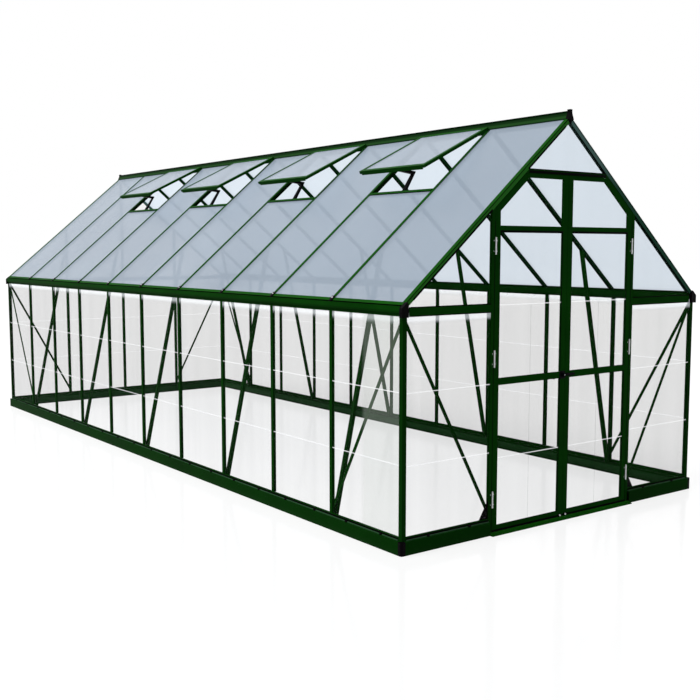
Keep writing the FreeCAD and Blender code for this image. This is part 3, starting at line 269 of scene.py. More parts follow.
# plastic, rubber and steel
blackPlastic = coatedMaterial("blackPlastic", {
    "dark": (0.0008, 0.0004, 0.0009), "light": (0.0024, 0.0015, 0.0026),
    "rough": 0.40, "ior": 1.09, "bump": 0.35, "peel": 1500.0, "drift": 8.0})
sealRubber = coatedMaterial("sealRubber", {
    "dark": (0.0008, 0.0008, 0.0008), "light": (0.0024, 0.0022, 0.0024),
    "rough": 0.62, "ior": 1.06, "bump": 0.3, "peel": 1200.0, "drift": 12.0})
hingeSteel = coatedMaterial("hingeSteel", {
    "dark": (0.46, 0.47, 0.48), "light": (0.66, 0.67, 0.68),
    "rough": 0.36, "ior": 1.45, "metal": 0.5, "bump": 0.15, "peel": 400.0, "drift": 60.0})
boltSteel = coatedMaterial("boltSteel", {
    "dark": (0.70, 0.71, 0.73), "light": (0.88, 0.89, 0.90),
    "rough": 0.30, "ior": 1.5, "metal": 0.3, "bump": 0.1, "peel": 500.0, "drift": 80.0})
seamGrey = coatedMaterial("seamGrey", {
    "dark": (0.10, 0.10, 0.10), "light": (0.16, 0.16, 0.16), "alpha": 0.16,
    "rough": 0.4, "ior": 1.2, "bump": 0.1, "peel": 500.0, "drift": 5.0})
print("paint, plastic and steel ready")

# haze of a clear sheet: a milky band under the eave, a painted glare at one end, upright streaks,
# and a clearer part above the eave; the group's own glare ends lie far off, so it has none
hazeMarks = {"upper": (1.22, 1.34), "streakScale": (9.0, 9.0, 0.25)}
hazeTree, hazeIn, hazeOut = newGroup(
    "sheetHaze", [("Band Low", 1.168), ("Band High", 1.204), ("Band End", 1.236),
                  ("Glare Start", -90.0), ("Glare End", -91.0)], ["Haze", "Glare", "Streak", "Upper"])
hazeEnd = {socket.name: socket for socket in hazeIn.outputs}
hazePlace = objectPlace(hazeTree)
hazeAxes = splitAxes(hazeTree, hazePlace)
band = remap(hazeTree, hazeAxes["Z"], hazeEnd["Band Low"], hazeEnd["Band High"], 0.0, 1.0, smooth=True)
belowEnd = combine(hazeTree, "LESS_THAN", hazeAxes["Z"], hazeEnd["Band End"])
glare = remap(hazeTree, hazeAxes["Y"], hazeEnd["Glare Start"], hazeEnd["Glare End"], 0.0, 1.0, smooth=True)
streakMap = addNode(hazeTree, "ShaderNodeMapping", Scale=hazeMarks["streakScale"])
hazeTree.links.new(hazePlace, streakMap.inputs["Vector"])
streak = addNode(hazeTree, "ShaderNodeTexNoise", Scale=1.0, Detail=3.0)
hazeTree.links.new(streakMap.outputs["Vector"], streak.inputs["Vector"])
hazeMasks = {
    "Haze": combine(hazeTree, "MULTIPLY", band, belowEnd),
    "Glare": glare,
    "Streak": streak.outputs["Fac"],
    "Upper": remap(hazeTree, hazeAxes["Z"], *hazeMarks["upper"], 0.0, 1.0, smooth=True),
}
for socket, mask in hazeMasks.items():
    hazeTree.links.new(mask, hazeOut.inputs[socket])

# the band is part milky haze and part painted glare that glows without a lamp; the glare colour is a painted
# reflection
clearLook = {
    "colour": [(0.0, (0.030, 0.032, 0.034)), (1.0, (0.86, 0.89, 0.91))], "glare": (0.38, 0.44, 0.38),
    "glow": [(0.0, (0.0, 0.0, 0.0)), (1.0, (0.50, 0.53, 0.56))],
    "streak": (0.3, 0.7), "streakAlpha": 0.018, "upperShare": 0.55,
    "hazeAlpha": 0.16, "glareAlpha": 0.075, "rough": (0.03, 0.09), "gloss": 0.03,
}


def clearSheetMaterial(name, marks, thinnest):
    material, tree, shader = newMaterial(name)
    haze = useGroup(tree, hazeTree, marks)
    colour = colourRamp(tree, haze.outputs["Haze"], clearLook["colour"])
    colour = mixColour(tree, haze.outputs["Glare"], colour, clearLook["glare"])
    tree.links.new(colour, shader.inputs["Base Color"])
    glow = colourRamp(tree, haze.outputs["Haze"], clearLook["glow"])
    tree.links.new(glow, shader.inputs["Emission Color"])
    shader.inputs["Emission Strength"].default_value = 1.0
    shader.inputs["Specular IOR Level"].default_value = clearLook["gloss"]
    thickest = thinnest + clearLook["streakAlpha"]
    thin = remap(tree, haze.outputs["Streak"], *clearLook["streak"], thinnest, thickest)
    clearer = remap(tree, haze.outputs["Upper"], 0.0, 1.0, 1.0, clearLook["upperShare"])
    thin = combine(tree, "MULTIPLY", thin, clearer)
    milky = combine(tree, "MULTIPLY", haze.outputs["Haze"], clearLook["hazeAlpha"])
    bright = combine(tree, "MULTIPLY", haze.outputs["Glare"], clearLook["glareAlpha"])
    thick = combine(tree, "ADD", milky, bright)
    tree.links.new(combine(tree, "ADD", thin, thick), shader.inputs["Alpha"])
    rough = remap(tree, haze.outputs["Streak"], *clearLook["streak"], *clearLook["rough"])
    tree.links.new(rough, shader.inputs["Roughness"])
    return material


# the sheets of the left wall are the clearest, the far ones look the thickest; doors have no band
gableBand = {"Band Low": 1.172, "Band High": 1.198}
noBand = {"Band Low": 80.0, "Band High": 81.0}
# painted reflection: a glare over the end bay of the left wall
leftGlare = {"Glare Start": -2.680, "Glare End": -2.720}
wallSheet = clearSheetMaterial("wallSheet", {}, thinnest=0.100)
glareSheet = clearSheetMaterial("glareSheet", leftGlare, thinnest=0.056)
gableSheet = clearSheetMaterial("gableSheet", gableBand, thinnest=0.068)
backSheet = clearSheetMaterial("backSheet", gableBand, thinnest=0.100)
doorSheet = clearSheetMaterial("doorSheet", noBand, thinnest=0.068)

# flutes of the twin-wall roof sheets, a slow drift in how milky they are, and which side is the under one
fluteMarks = {"driftScale": 0.9, "under": (-0.1, 0.1)}
fluteTree, fluteIn, fluteOut = newGroup("sheetFlutes", [("Flute Scale", 52.0)], ["Flute", "Drift", "Under"])
flutePlace = objectPlace(fluteTree)
flute = addNode(fluteTree, "ShaderNodeTexWave", wave_type="BANDS", bands_direction="Y")
drift = addNode(fluteTree, "ShaderNodeTexNoise", Scale=fluteMarks["driftScale"], Detail=2.0)
fluteTree.links.new(fluteIn.outputs["Flute Scale"], flute.inputs["Scale"])
for texture, socket in ((flute, "Flute"), (drift, "Drift")):
    fluteTree.links.new(flutePlace, texture.inputs["Vector"])
    fluteTree.links.new(texture.outputs["Fac"], fluteOut.inputs[socket])
under = remap(fluteTree, faceNormal(fluteTree)["Z"], *fluteMarks["under"], 1.0, 0.0)
fluteTree.links.new(under, fluteOut.inputs["Under"])

hazyLook = {
    "colour": [(0.0, (0.150, 0.195, 0.235)), (1.0, (0.205, 0.255, 0.300))],
    "glow": [(0.0, (0.135, 0.150, 0.185)), (1.0, (0.63, 0.69, 0.75))],
    "fluteShare": 0.25, "tone": (0.35, 0.9), "alpha": (0.70, 0.76), "rough": (0.20, 0.30),
    "gloss": 0.12, "relief": 0.2, "reliefDepth": 0.0005,
}
hazySheet, tree, shader = newMaterial("hazySheet")
flutes = useGroup(tree, fluteTree, {})
tone = combine(tree, "MULTIPLY", flutes.outputs["Flute"], hazyLook["fluteShare"])
tone = remap(tree, combine(tree, "ADD", tone, flutes.outputs["Drift"]), *hazyLook["tone"], 0.0, 1.0)
tree.links.new(colourRamp(tree, tone, hazyLook["colour"]), shader.inputs["Base Color"])
# painted light: both faces glow, the under face far brighter, for skylight coming through the sheet
tree.links.new(colourRamp(tree, flutes.outputs["Under"], hazyLook["glow"]), shader.inputs["Emission Color"])
shader.inputs["Emission Strength"].default_value = 1.0
shader.inputs["Specular IOR Level"].default_value = hazyLook["gloss"]
for key, socket in (("rough", "Roughness"), ("alpha", "Alpha")):
    tree.links.new(remap(tree, flutes.outputs["Flute"], 0.0, 1.0, *hazyLook[key]), shader.inputs[socket])
relief = addNode(tree, "ShaderNodeBump", Strength=hazyLook["relief"], Distance=hazyLook["reliefDepth"])
tree.links.new(flutes.outputs["Flute"], relief.inputs["Height"])
tree.links.new(relief.outputs["Normal"], shader.inputs["Normal"])

# pressed ribs: milky white where the sheet is bent, with a painted glow for the light through from behind
ribLook = {
    "colour": [(0.2, (0.24, 0.25, 0.26)), (0.8, (0.30, 0.31, 0.31))],
    "light": [(0.2, (0.90, 0.93, 0.95)), (0.8, (1.0, 1.0, 1.0))],
    "tone": (0.3, 0.7), "alpha": (0.42, 0.50), "rough": (0.12, 0.25), "gloss": 0.1,
    "peel": 300.0, "drift": 6.0,
}


def ribMaterial(name, glow):
    material, tree, shader = newMaterial(name)
    grain = useGroup(tree, coatTree, {"Peel Scale": ribLook["peel"], "Drift Scale": ribLook["drift"]})
    tone = grain.outputs["Tone"]
    tree.links.new(colourRamp(tree, tone, ribLook["colour"]), shader.inputs["Base Color"])
    tree.links.new(colourRamp(tree, tone, ribLook["light"]), shader.inputs["Emission Color"])
    shader.inputs["Emission Strength"].default_value = glow
    shader.inputs["Specular IOR Level"].default_value = ribLook["gloss"]
    tree.links.new(remap(tree, tone, *ribLook["tone"], *ribLook["alpha"]), shader.inputs["Alpha"])
    rough = remap(tree, grain.outputs["Peel"], 0.0, 1.0, *ribLook["rough"])
    tree.links.new(rough, shader.inputs["Roughness"])
    return material


ribNear = ribMaterial("ribNear", glow=0.86)
ribFar = ribMaterial("ribFar", glow=1.2)
print("sheets ready")

slotMaterial = {
    "green_paint": greenPaint, "base_paint": basePaint, "black_plastic": blackPlastic,
    "hinge_steel": hingeSteel, "clear_sheet": gableSheet, "hazy_sheet": hazySheet,
}
nodeMaterial = {
    **{f"vent_frame_{number}": roofPaint for number in range(1, house["vents"] + 1)},
    "eave_trims": roofPaint, "door_threshold": roofPaint,
    "rafters_left": rafterPaint, "vent_crossbars": rafterPaint, "rafters_right": farRafterPaint,
    "gable_rafters": gablePaint, "ridge_beam": ridgePaint, "corner_posts": basePaint,
    "wall_panels_left": glareSheet, "wall_panels_right": wallSheet, "back_panels": backSheet,
    "door_left_panels": doorSheet, "door_right_panels": doorSheet,
}
for part in frame["record"]["subparts"]:
    node = nodes[part["node"]]
    node.data.materials.clear()
    node.data.materials.append(nodeMaterial.get(part["node"], slotMaterial[part["material_slot"]]))
print("frame dressed")


# modelling helpers; facing and flat say how squarely a picked face has to look one way
shaping = {"smooth": math.radians(40), "bevelSteps": 2, "barRound": 0.0006, "facing": 0.9, "flat": 0.99}


# a box from its low and high ends in x, y and z
def startBox(name, *spans):
    bpy.ops.object.select_all(action="DESELECT")
    bpy.ops.mesh.primitive_cube_add(size=1, location=[(low + high) / 2 for low, high in spans])
    piece = bpy.context.object
    piece.name = name
    piece.scale = [high - low for low, high in spans]
    bpy.ops.object.transform_apply(location=True, rotation=True, scale=True)
    return piece


def startRod(name, radius, length, sides):
    bpy.ops.object.select_all(action="DESELECT")
    bpy.ops.mesh.primitive_cylinder_add(
        vertices=sides, radius=radius, depth=length, location=(0, 0, length / 2))
    piece = bpy.context.object
    piece.name = name
    bpy.ops.object.transform_apply(location=True, rotation=True, scale=True)
    return piece


# select the faces that a rule picks by their normal; leaves the piece in edit mode
def pickFaces(piece, rule):
    bpy.ops.object.mode_set(mode="EDIT")
    bpy.ops.mesh.select_mode(type="FACE")
    bpy.ops.mesh.select_all(action="DESELECT")
    bpy.ops.object.mode_set(mode="OBJECT")
    for face in piece.data.polygons:
        face.select = rule(face.normal)
    bpy.ops.object.mode_set(mode="EDIT")


def roundEdges(width):
    bpy.ops.object.mode_set(mode="EDIT")
    bpy.ops.mesh.select_all(action="SELECT")
    bpy.ops.mesh.bevel(offset=width, offset_type="OFFSET", segments=shaping["bevelSteps"], affect="EDGES",
                       clamp_overlap=True)
    bpy.ops.object.mode_set(mode="OBJECT")


def copyTo(piece, matrix):
    twin = piece.copy()
    twin.data = piece.data.copy()
    bpy.context.collection.objects.link(twin)
    twin.data.transform(matrix)
    return twin


def joinAs(name, pieces):
    bpy.ops.object.select_all(action="DESELECT")
    for piece in pieces:
        piece.select_set(True)
    bpy.context.view_layer.objects.active = pieces[0]
    if len(pieces) > 1:
        bpy.ops.object.join()
    pieces[0].name = name
    return pieces[0]


def finishPiece(piece, material, body="frame"):
    bpy.ops.object.select_all(action="DESELECT")
    piece.select_set(True)
    bpy.context.view_layer.objects.active = piece
    bpy.ops.object.mode_set(mode="EDIT")
    bpy.ops.mesh.select_all(action="SELECT")
    bpy.ops.mesh.normals_make_consistent(inside=False)
    bpy.ops.object.mode_set(mode="OBJECT")
    bpy.ops.object.shade_smooth_by_angle(angle=shaping["smooth"])
    piece.data.materials.clear()
    piece.data.materials.append(material)
    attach(piece, body)


# low and high x of a span on the left (-1) or right (1) half
def spanOn(side, span):
    return sorted(side * edge for edge in span)


# carries a piece modelled on +Z to a place, facing outward
def facingTo(place, outward):
    turn = Vector(outward).to_track_quat("Z", "Y").to_matrix().to_4x4()
    return Matrix.Translation(Vector(place)) @ turn


# a point at a run up the slope and a rise above it
def onSlope(run, rise, y, side):
    x = run * math.cos(house["slope"]) - rise * math.sin(house["slope"]) - house["halfWidth"]
    z = house["eave"] + run * math.sin(house["slope"]) + rise * math.cos(house["slope"])
    return (x * -side, y, z)


def slopeNormal(side):
    return (math.sin(house["slope"]) * side, 0, math.cos(house["slope"]))


# carries a piece modelled along x and z to the left slope, and from there to the right one
eaveLine = Matrix.Translation((-house["halfWidth"], 0, house["eave"]))
upSlope = eaveLine @ Matrix.Rotation(-house["slope"], 4, "Y")
mirrorX = Matrix.Scale(-1, 4, (1, 0, 0))

# pressed ribs across the clear sheets
rib = {
    "height": 0.0048, "proud": 0.0012, "sink": 0.0004, "round": 0.0005, "studHalf": 0.0125,
    "wallLevels": (0.462, 0.834), "frontLevels": (0.456, 0.830), "doorLevels": (0.421, 1.254),
    "wallEnds": (-3.007, 3.029),
    "backBays": ((-1.177, -0.6165), (-0.5915, -0.0125), (0.0125, 0.5915), (0.6165, 1.177)),
}


def pressRib(axis, face, outward, run, level):
    depth = sorted((face - outward * rib["sink"], face + outward * rib["proud"]))
    across = (run, depth) if axis == "X" else (depth, run)
    piece = startBox("rib", *across, (level - rib["height"] / 2, level + rib["height"] / 2))
    roundEdges(rib["round"])
    return piece


wallFaces = (
    (-1, "wallRibsLeft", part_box("wall_panels_left")[0][0], ribNear),
    (1, "wallRibsRight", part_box("wall_panels_right")[1][0], ribFar),
)
bayRun = (studLines[1] + rib["studHalf"], studLines[2] - rib["studHalf"])
endRuns = ((rib["wallEnds"][0], studLines[1] - rib["studHalf"]),
           (studLines[-2] + rib["studHalf"], rib["wallEnds"][1]))
for side, name, face, material in wallFaces:
    pieces = []
    for level in rib["wallLevels"]:
        first = pressRib("Y", face, side, bayRun, level)
        pieces.append(first)
        for k in range(1, house["bays"] - 2):
            pieces.append(copyTo(first, Matrix.Translation((0, house["bay"] * k, 0))))
        pieces += [pressRib("Y", face, side, run, level) for run in endRuns]
    finishPiece(joinAs(name, pieces), material)

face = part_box("front_panels")[0][1]
pieces = [pressRib("X", face, -1, spanOn(side, house["gableBay"]), level)
          for level in rib["frontLevels"] for side in (-1, 1)]
finishPiece(joinAs("gableRibsFront", pieces), ribNear)
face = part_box("back_panels")[1][1]
pieces = [pressRib("X", face, 1, run, level) for level in rib["wallLevels"] for run in rib["backBays"]]
finishPiece(joinAs("gableRibsBack", pieces), ribFar)

# door sheets: ribs, and a fine upright seam in the lower and middle panes
seam = {"x": (0.2835, 0.2855), "proud": 0.0006, "sink": 0.0004, "round": 0.0003,
        "spans": ((0.050, 0.820), (0.860, 1.250))}
for side, name, body in doorLeaves:
    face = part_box(body + "_panels")[0][1]
    paneRun = spanOn(side, house["doorPane"])
    pieces = [pressRib("X", face, -1, paneRun, level) for level in rib["doorLevels"]]
    finishPiece(joinAs("doorRibs" + name, pieces), ribNear, body)
    pieces = []
    for span in seam["spans"]:
        depth = (face - seam["proud"], face + seam["sink"])
        pieces.append(startBox("seam", spanOn(side, seam["x"]), depth, span))
        roundEdges(seam["round"])
    finishPiece(joinAs("doorSeam" + name, pieces), seamGrey, body)
print("ribs pressed")

# pan-head screws, modelled on +Z and copied about; the sizes are for the big one
screw = {"radius": 0.0045, "height": 0.0022, "dome": 0.0012, "rim": 0.0014, "recess": 0.0010, "sides": 10,
         "small": 0.0028, "plug": 0.0062}


def panScrew(name, radius):
    grow = radius / screw["radius"]
    piece = startRod(name, radius, screw["height"] * grow, screw["sides"])
    pickFaces(piece, lambda normal: normal.z > shaping["facing"])
    bpy.ops.mesh.bevel(offset=screw["dome"] * grow, offset_type="OFFSET", segments=shaping["bevelSteps"],
                       affect="EDGES")
    bpy.ops.object.mode_set(mode="OBJECT")
    pickFaces(piece, lambda normal: normal.z > shaping["flat"])
    bpy.ops.mesh.inset(thickness=screw["rim"] * grow)
    bpy.ops.transform.translate(value=(0, 0, -screw["recess"] * grow))
    bpy.ops.object.mode_set(mode="OBJECT")
    return piece


def placeScrews(name, source, spots, material, body="frame"):
    pieces = [copyTo(source, facingTo(place, outward)) for place, outward in spots]
    finishPiece(joinAs(name, pieces), material, body)


# screws at the four corners: some face sideways, some along the house
def cornerSpots(sideways, along):
    spots = [((sx * x, middle + sy * y, z), (sx, 0, 0)) for sx, sy in corners for x, y, z in sideways]
    spots += [((sx * x, middle + sy * y, z), (0, sy, 0)) for sx, sy in corners for x, y, z in along]
    return spots


bigScrew = panScrew("bigScrew", screw["radius"])
smallScrew = panScrew("smallScrew", screw["small"])
plugScrew = panScrew("plugScrew", screw["plug"])
toFront = (0, -1, 0)

rafterCap = {"run": 0.0405, "rise": 0.005}
spots = [(onSlope(rafterCap["run"], rafterCap["rise"], y, side), slopeNormal(side))
         for side in (-1, 1) for y in innerStuds]
placeScrews("rafterCapScrews", bigScrew, spots, hingeSteel)

eaveBlock = {"sideways": [(1.220, 3.046, 1.237)], "along": [(1.202, 3.057, 1.234)]}
placeScrews("eaveBlockScrews", bigScrew, cornerSpots(**eaveBlock), blackPlastic)

cornerCap = {"sideways": [(1.220, 3.041, 0.020), (1.220, 3.041, 0.052)],
             "along": [(1.199, 3.061, 0.020), (1.199, 3.061, 0.052)]}
placeScrews("cornerCapScrews", smallScrew, cornerSpots(**cornerCap), blackPlastic)

studFoot = {"x": 1.204, "z": 0.108}
spots = [((side * studFoot["x"], y, studFoot["z"]), (side, 0, 0)) for side in (-1, 1) for y in innerStuds]
placeScrews("studFootScrews", smallScrew, spots, greenPaint)

hinge = {"moving": 0.5575, "fixed": 0.5805, "y": -3.0348,
         "feet": (0.149, 0.920, 1.524), "up": (0.018, 0.074)}
plug = {"x": 0.023, "y": -3.0400, "z": 0.021}
hingeLevels = [foot + up for foot in hinge["feet"] for up in hinge["up"]]
for side, name, body in doorLeaves:
    spots = [((side * hinge["moving"], hinge["y"], z), toFront) for z in hingeLevels]
    placeScrews("hingeScrews" + name, smallScrew, spots, hingeSteel, body)
    spots = [((side * plug["x"], plug["y"], plug["z"]), toFront)]
    placeScrews("plugScrew" + name, plugScrew, spots, boltSteel, body)
spots = [((side * hinge["fixed"], hinge["y"], z), toFront) for side in (-1, 1) for z in hingeLevels]
placeScrews("hingeScrewsFixed", smallScrew, spots, hingeSteel)

stayPivot = {"x": -0.5066, "half": 0.019, "z": 2.0334}
for number, y in enumerate(ventLines, 1):
    spots = [((stayPivot["x"], y + way * stayPivot["half"], stayPivot["z"]), (0, way, 0)) for way in (-1, 1)]
    placeScrews(f"stayBolts{number}", bigScrew, spots, hingeSteel, f"vent_{number}")

handle = {"knobX": -0.019, "knobZ": 0.840, "buttonX": -0.066, "buttonZ": 0.818, "buttonSet": 0.008}
knobFace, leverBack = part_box("door_handle")[0][1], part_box("door_handle")[1][1]
spots = [((handle["knobX"], knobFace, handle["knobZ"]), toFront)]
placeScrews("knobScrew", smallScrew, spots, boltSteel, "handle")
spots = [((handle["buttonX"], leverBack - handle["buttonSet"], handle["buttonZ"]), toFront)]
placeScrews("leverButton", bigScrew, spots, boltSteel, "handle")
for source in (bigScrew, smallScrew, plugScrew):
    bpy.data.objects.remove(source)
print("screws placed")

# grip ribs along the threshold ramp
grip = {"count": 4, "spare": 1.2, "half": 0.0009, "height": 0.0012, "sink": 0.001, "x": (-0.592, 0.592),
        "deep": 0.022, "low": 0.003, "climb": 0.009, "round": 0.0005}
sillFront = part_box("door_threshold")[0][1]
pieces = []
for k in range(grip["count"]):
    share = (k + 1) / (grip["count"] + grip["spare"])
    y = sillFront + grip["deep"] * share
    z = grip["low"] + grip["climb"] * share
    pieces.append(startBox("grip", grip["x"], (y - grip["half"], y + grip["half"]),
                           (z - grip["sink"], z + grip["height"])))
    roundEdges(grip["round"])
finishPiece(joinAs("thresholdGrips", pieces), roofPaint)
print("threshold ribbed")


# bar with rounded edges, for seals, the painted ledge highlight and clips
def sealBar(*spans):
    piece = startBox("seal", *spans)
    roundEdges(shaping["barRound"])
    return piece


# black beads round the door panes, and a painted shadow: a black band along the lower edge of the upper rail
bead = {"width": 0.0022, "panes": ((0.047, 0.823), (0.858, 1.643)), "rail": (1.6432, 1.6530),
        "set": 0.0006, "lap": 0.0002, "proud": 0.0006, "sink": 0.001}


def beadFrame(*spans):
    piece = startBox("bead", *spans)
    pickFaces(piece, lambda normal: abs(normal.y) > shaping["facing"])
    bpy.ops.mesh.inset(thickness=bead["width"])
    bpy.ops.mesh.delete(type="FACE")
    bpy.ops.mesh.select_mode(type="EDGE")
    bpy.ops.mesh.select_non_manifold()
    bpy.ops.mesh.bridge_edge_loops()
    bpy.ops.object.mode_set(mode="OBJECT")
    return piece


# brush strip at the foot of each leaf
sweep = {"z": (0.0140, 0.0235), "proud": 0.0025, "sink": 0.001, "x": (0.003, 0.566)}
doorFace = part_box("door_left_frame")[0][1]
for side, name, body in doorLeaves:
    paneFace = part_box(body + "_panels")[0][1]
    paneRun = spanOn(side, house["doorPane"])
    depth = (doorFace + bead["set"], paneFace + bead["lap"])
    pieces = [beadFrame(paneRun, depth, pane) for pane in bead["panes"]]
    pieces.append(sealBar(paneRun, (doorFace - bead["proud"], doorFace + bead["sink"]), bead["rail"]))
    finishPiece(joinAs("doorBeadsAndRailShadow" + name, pieces), sealRubber, body)
    depth = (doorFace - sweep["proud"], doorFace + sweep["sink"])
    strip = sealBar(spanOn(side, sweep["x"]), depth, sweep["z"])
    finishPiece(joinAs("doorSweep" + name, [strip]), sealRubber, body)

# plate under the handle
plate = {"x": (-0.0460, -0.0016), "z": (0.8175, 0.8625), "thick": 0.003, "sink": 0.0005,
         "rim": 0.004, "crown": 0.0008, "round": 0.0012}
depth = (doorFace - plate["thick"], doorFace + plate["sink"])
escutcheon = startBox("handlePlate", plate["x"], depth, plate["z"])
pickFaces(escutcheon, lambda normal: normal.y < -shaping["facing"])
bpy.ops.mesh.inset(thickness=plate["rim"])
bpy.ops.transform.translate(value=(0, -plate["crown"], 0))
bpy.ops.object.mode_set(mode="OBJECT")
roundEdges(plate["round"])
finishPiece(joinAs("handlePlate", [escutcheon]), blackPlastic, "door_left")
print("doors sealed")

# seals of the front gable: at the tie beams, over the header, along the gable rafters and the jambs,
# a stop behind the tops of the doors, and a band of painted shade on the header
seal = {
    "high": 0.006, "set": 0.0008, "back": 0.0030, "proud": 0.0008, "sink": 0.001,
    "tieX": (0.594, 1.162), "tieLow": 1.221, "tieHigh": 1.259, "headerX": (-0.320, 0.320), "headerTop": 1.983,
    "runs": ((0.090, 0.800), (1.150, 1.530)), "rise": (-0.0290, -0.0185), "tuck": 0.002,
    "jambX": (0.5702, 0.5735), "jambProud": 0.0004, "jambSink": 0.0020, "jambZ": (0.0160, 1.7000),
    "stopClear": 0.0008, "stopBack": 0.0050, "stopLap": 0.004, "stopSink": 0.001, "band": (0.0010, 0.0150),
}
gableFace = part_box("door_jambs")[0][1]
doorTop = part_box("door_left_frame")[1]
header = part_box("door_header")[0]
depth = (gableFace + seal["set"], gableFace + seal["back"])
pieces = []
for side in (-1, 1):
    tieRun = spanOn(side, seal["tieX"])
    pieces.append(sealBar(tieRun, depth, (seal["tieLow"] - seal["high"], seal["tieLow"])))
    pieces.append(sealBar(tieRun, depth, (seal["tieHigh"], seal["tieHigh"] + seal["high"])))
pieces.append(sealBar(seal["headerX"], depth, (seal["headerTop"], seal["headerTop"] + seal["high"])))
# along the left rafter the seal stands proud, on the right one it is tucked in behind the face
tuckedIn = Matrix.Translation((0, 2 * seal["proud"], -seal["tuck"]))
depth = (gableFace - seal["proud"], gableFace + seal["back"])
# the strips along the gable rafters are part seal, part painted shade at the rafters' lower edges
strips = [sealBar(run, depth, seal["rise"]) for run in seal["runs"]]
for strip in strips:
    strip.data.transform(upSlope)
    pieces += [strip, copyTo(strip, tuckedIn @ mirrorX)]
depth = (gableFace - seal["jambProud"], gableFace + seal["jambSink"])
pieces += [sealBar(spanOn(side, seal["jambX"]), depth, seal["jambZ"]) for side in (-1, 1)]
depth = (doorTop[1] + seal["stopClear"], doorTop[1] + seal["stopBack"])
pieces.append(sealBar(seal["headerX"], depth, (doorTop[2] - seal["stopLap"], header[2] + seal["stopSink"])))
# painted shade: a black band along the lower part of the header's face
depth = (header[1] - seal["proud"], header[1] + seal["sink"])
pieces.append(sealBar(seal["headerX"], depth, [header[2] + edge for edge in seal["band"]]))
finishPiece(joinAs("gableSealsAndShadeBands", pieces), sealRubber)

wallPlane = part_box("wall_studs_right")[1][0]
backPlane = 2 * middle - gableFace


# bars round the foot of the house: along both walls, the two front bays and the back
def footBars(inner, outer, z):
    wallRun = (middle - house["wallHalf"], middle + house["wallHalf"])
    backRun = (-house["gableBay"][1], house["gableBay"][1])
    pieces = []
    for side in (-1, 1):
        pieces.append(sealBar(spanOn(side, (wallPlane + inner, wallPlane + outer)), wallRun, z))
        pieces.append(sealBar(spanOn(side, house["gableBay"]), (gableFace - outer, gableFace - inner), z))
    pieces.append(sealBar(backRun, (backPlane + inner, backPlane + outer), z))
    return pieces


# painted shade: black strips along the sill rails, where the sheets stand in them, for the shaded groove
sill = {"inner": -0.001, "outer": 0.0010, "z": (0.0782, 0.0872)}
finishPiece(joinAs("sillGrooveShade", footBars(**sill)), sealRubber)

# seal along the lower edge of each eave trim, part seal and part painted shade of the gap above the gutter
drip = {"run": (0.0230, 0.0250), "rise": (-0.0102, -0.0012)}
strip = sealBar(drip["run"], [corner[1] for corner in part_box("eave_trims")], drip["rise"])
strip.data.transform(upSlope)
finishPiece(joinAs("eaveSealsAndGapShade", [strip, copyTo(strip, mirrorX)]), sealRubber)

# painted highlight: a pale strip on the ledge at the foot of the sill rails
ledgeHighlight = {"inner": 0.0004, "outer": 0.0062, "z": (0.0716, 0.0778)}
finishPiece(joinAs("baseLedgeHighlights", footBars(**ledgeHighlight)), ledgeHighlightPaint)

# clips on the front ledge, two in each bay
clip = {"half": 0.008, "deep": 0.010, "set": 0.0002, "z": (0.0718, 0.0808), "shares": (0.25, 0.75)}
bayStart, bayEnd = house["gableBay"]
pieces = []
for side in (-1, 1):
    for share in clip["shares"]:
        x = side * (bayStart + (bayEnd - bayStart) * share)
        depth = (gableFace - clip["deep"], gableFace - clip["set"])
        pieces.append(sealBar((x - clip["half"], x + clip["half"]), depth, clip["z"]))
finishPiece(joinAs("frontClips", pieces), blackPlastic)

# liners that close the inner side of the base rails; their lighter green is painted light
liner = {"z": (0.0122, 0.0598), "thick": 0.002, "set": 0.0600, "doorway": 0.600, "round": 0.0005}
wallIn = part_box("base_rail_right")[1][0] - liner["set"]
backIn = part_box("base_rail_back")[1][1] - liner["set"]
frontIn = 2 * middle - backIn


def linerPlate(x, y):
    piece = startBox("liner", x, y, liner["z"])
    roundEdges(liner["round"])
    return piece


pieces = []
for side in (-1, 1):
    pieces.append(linerPlate(spanOn(side, (wallIn, wallIn + liner["thick"])), (frontIn, backIn)))
    pieces.append(linerPlate(spanOn(side, (liner["doorway"], wallIn)), (frontIn - liner["thick"], frontIn)))
pieces.append(linerPlate((-wallIn, wallIn), (backIn, backIn + liner["thick"])))
finishPiece(joinAs("baseLiners", pieces), linerPaint)

# noses on the rafter feet: black blocks that hook over the eave trim
nose = {"run": (0.0165, 0.0300), "half": 0.013, "rise": (-0.017, 0.0048), "round": 0.0025}
hook = startBox("hook", nose["run"], (-nose["half"], nose["half"]), nose["rise"])
roundEdges(nose["round"])
hook.data.transform(upSlope)
pieces = [copyTo(hook, flip @ Matrix.Translation((0, y, 0)))
          for flip in (Matrix.Identity(4), mirrorX) for y in innerStuds]
bpy.data.objects.remove(hook)
finishPiece(joinAs("rafterNoses", pieces), blackPlastic)
print("gables, sills and eaves sealed")

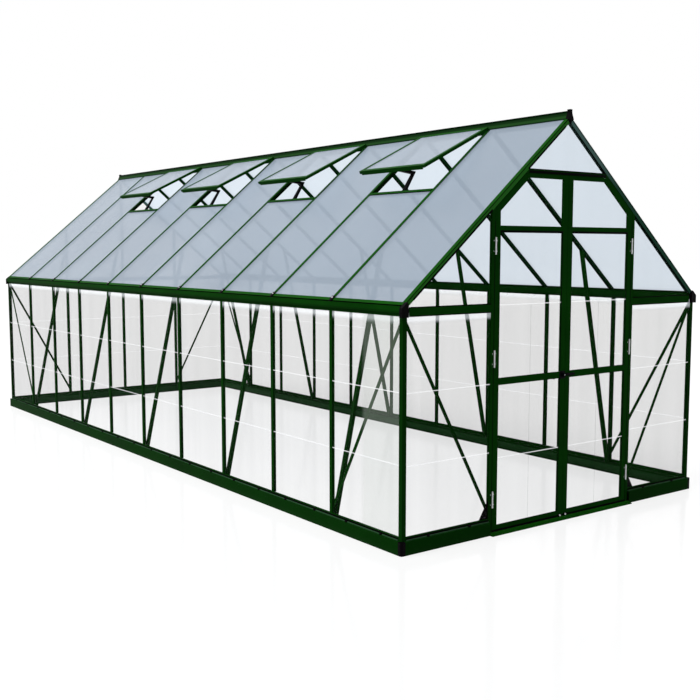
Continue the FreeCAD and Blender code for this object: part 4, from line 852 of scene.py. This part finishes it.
# floor: white where it is seen, with the shadow and a soft reflection
floorLook = {"size": 120, "colour": (0.20, 0.20, 0.20, 1), "rough": 0.9, "glow": 0.90,
             "polish": 0.14, "sheen": 0.13}
bpy.ops.object.select_all(action="DESELECT")
bpy.ops.mesh.primitive_plane_add(size=floorLook["size"], location=(0, 0, 0))
floor = bpy.context.object
floor.name = "floor"
floorMaterial, tree, shader = newMaterial("paleFloor")
shader.inputs["Base Color"].default_value = floorLook["colour"]
shader.inputs["Roughness"].default_value = floorLook["rough"]
shader.inputs["Specular IOR Level"].default_value = 0
glow = tree.nodes.new("ShaderNodeEmission")
tree.links.new(combine(tree, "MULTIPLY", seenDirectly(tree), floorLook["glow"]), glow.inputs["Strength"])
matt = tree.nodes.new("ShaderNodeAddShader")
tree.links.new(shader.outputs[0], matt.inputs[0])
tree.links.new(glow.outputs[0], matt.inputs[1])
polish = addNode(tree, "ShaderNodeBsdfGlossy", Roughness=floorLook["polish"])
sheen = addNode(tree, "ShaderNodeMixShader", Fac=floorLook["sheen"])
tree.links.new(matt.outputs[0], sheen.inputs[1])
tree.links.new(polish.outputs[0], sheen.inputs[2])
tree.links.new(sheen.outputs[0], tree.nodes["Material Output"].inputs["Surface"])
floor.data.materials.append(floorMaterial)

# soft white room, dimmer as a light than as it is seen
room = {"light": 0.5, "seen": 1.0}
world = bpy.data.worlds.new("studio")
bpy.context.scene.world = world
world.use_nodes = True
tree = world.node_tree
sky = tree.nodes["Background"]
sky.inputs["Color"].default_value = (1, 1, 1, 1)
brightness = remap(tree, seenDirectly(tree), 0.0, 1.0, room["light"], room["seen"])
tree.links.new(brightness, sky.inputs["Strength"])

keySun = {"place": (-6, 2, 8), "from": (-1.0, 0.25, 1.5), "strength": 2.2, "angle": 40}
bpy.ops.object.light_add(type="SUN", location=keySun["place"])
sun = bpy.context.object
sun.name = "keySun"
sun.data.energy = keySun["strength"]
sun.data.angle = math.radians(keySun["angle"])
sun.rotation_euler = Vector(keySun["from"]).to_track_quat("Z", "Y").to_euler()

# camera at the photo's view
view = {"place": (-4.3522, -6.8267, 1.5515), "yaw": 36.640, "pitch": 5.785, "lens": 51.09, "sensor": 36}
bpy.ops.object.camera_add(location=view["place"])
camera = bpy.context.object
camera.rotation_euler = (math.radians(90 - view["pitch"]), 0, math.radians(-view["yaw"]))
camera.data.lens = view["lens"]
camera.data.sensor_width = view["sensor"]
bpy.context.scene.camera = camera
bpy.context.scene.view_settings.view_transform = "Standard"
print("stage set")
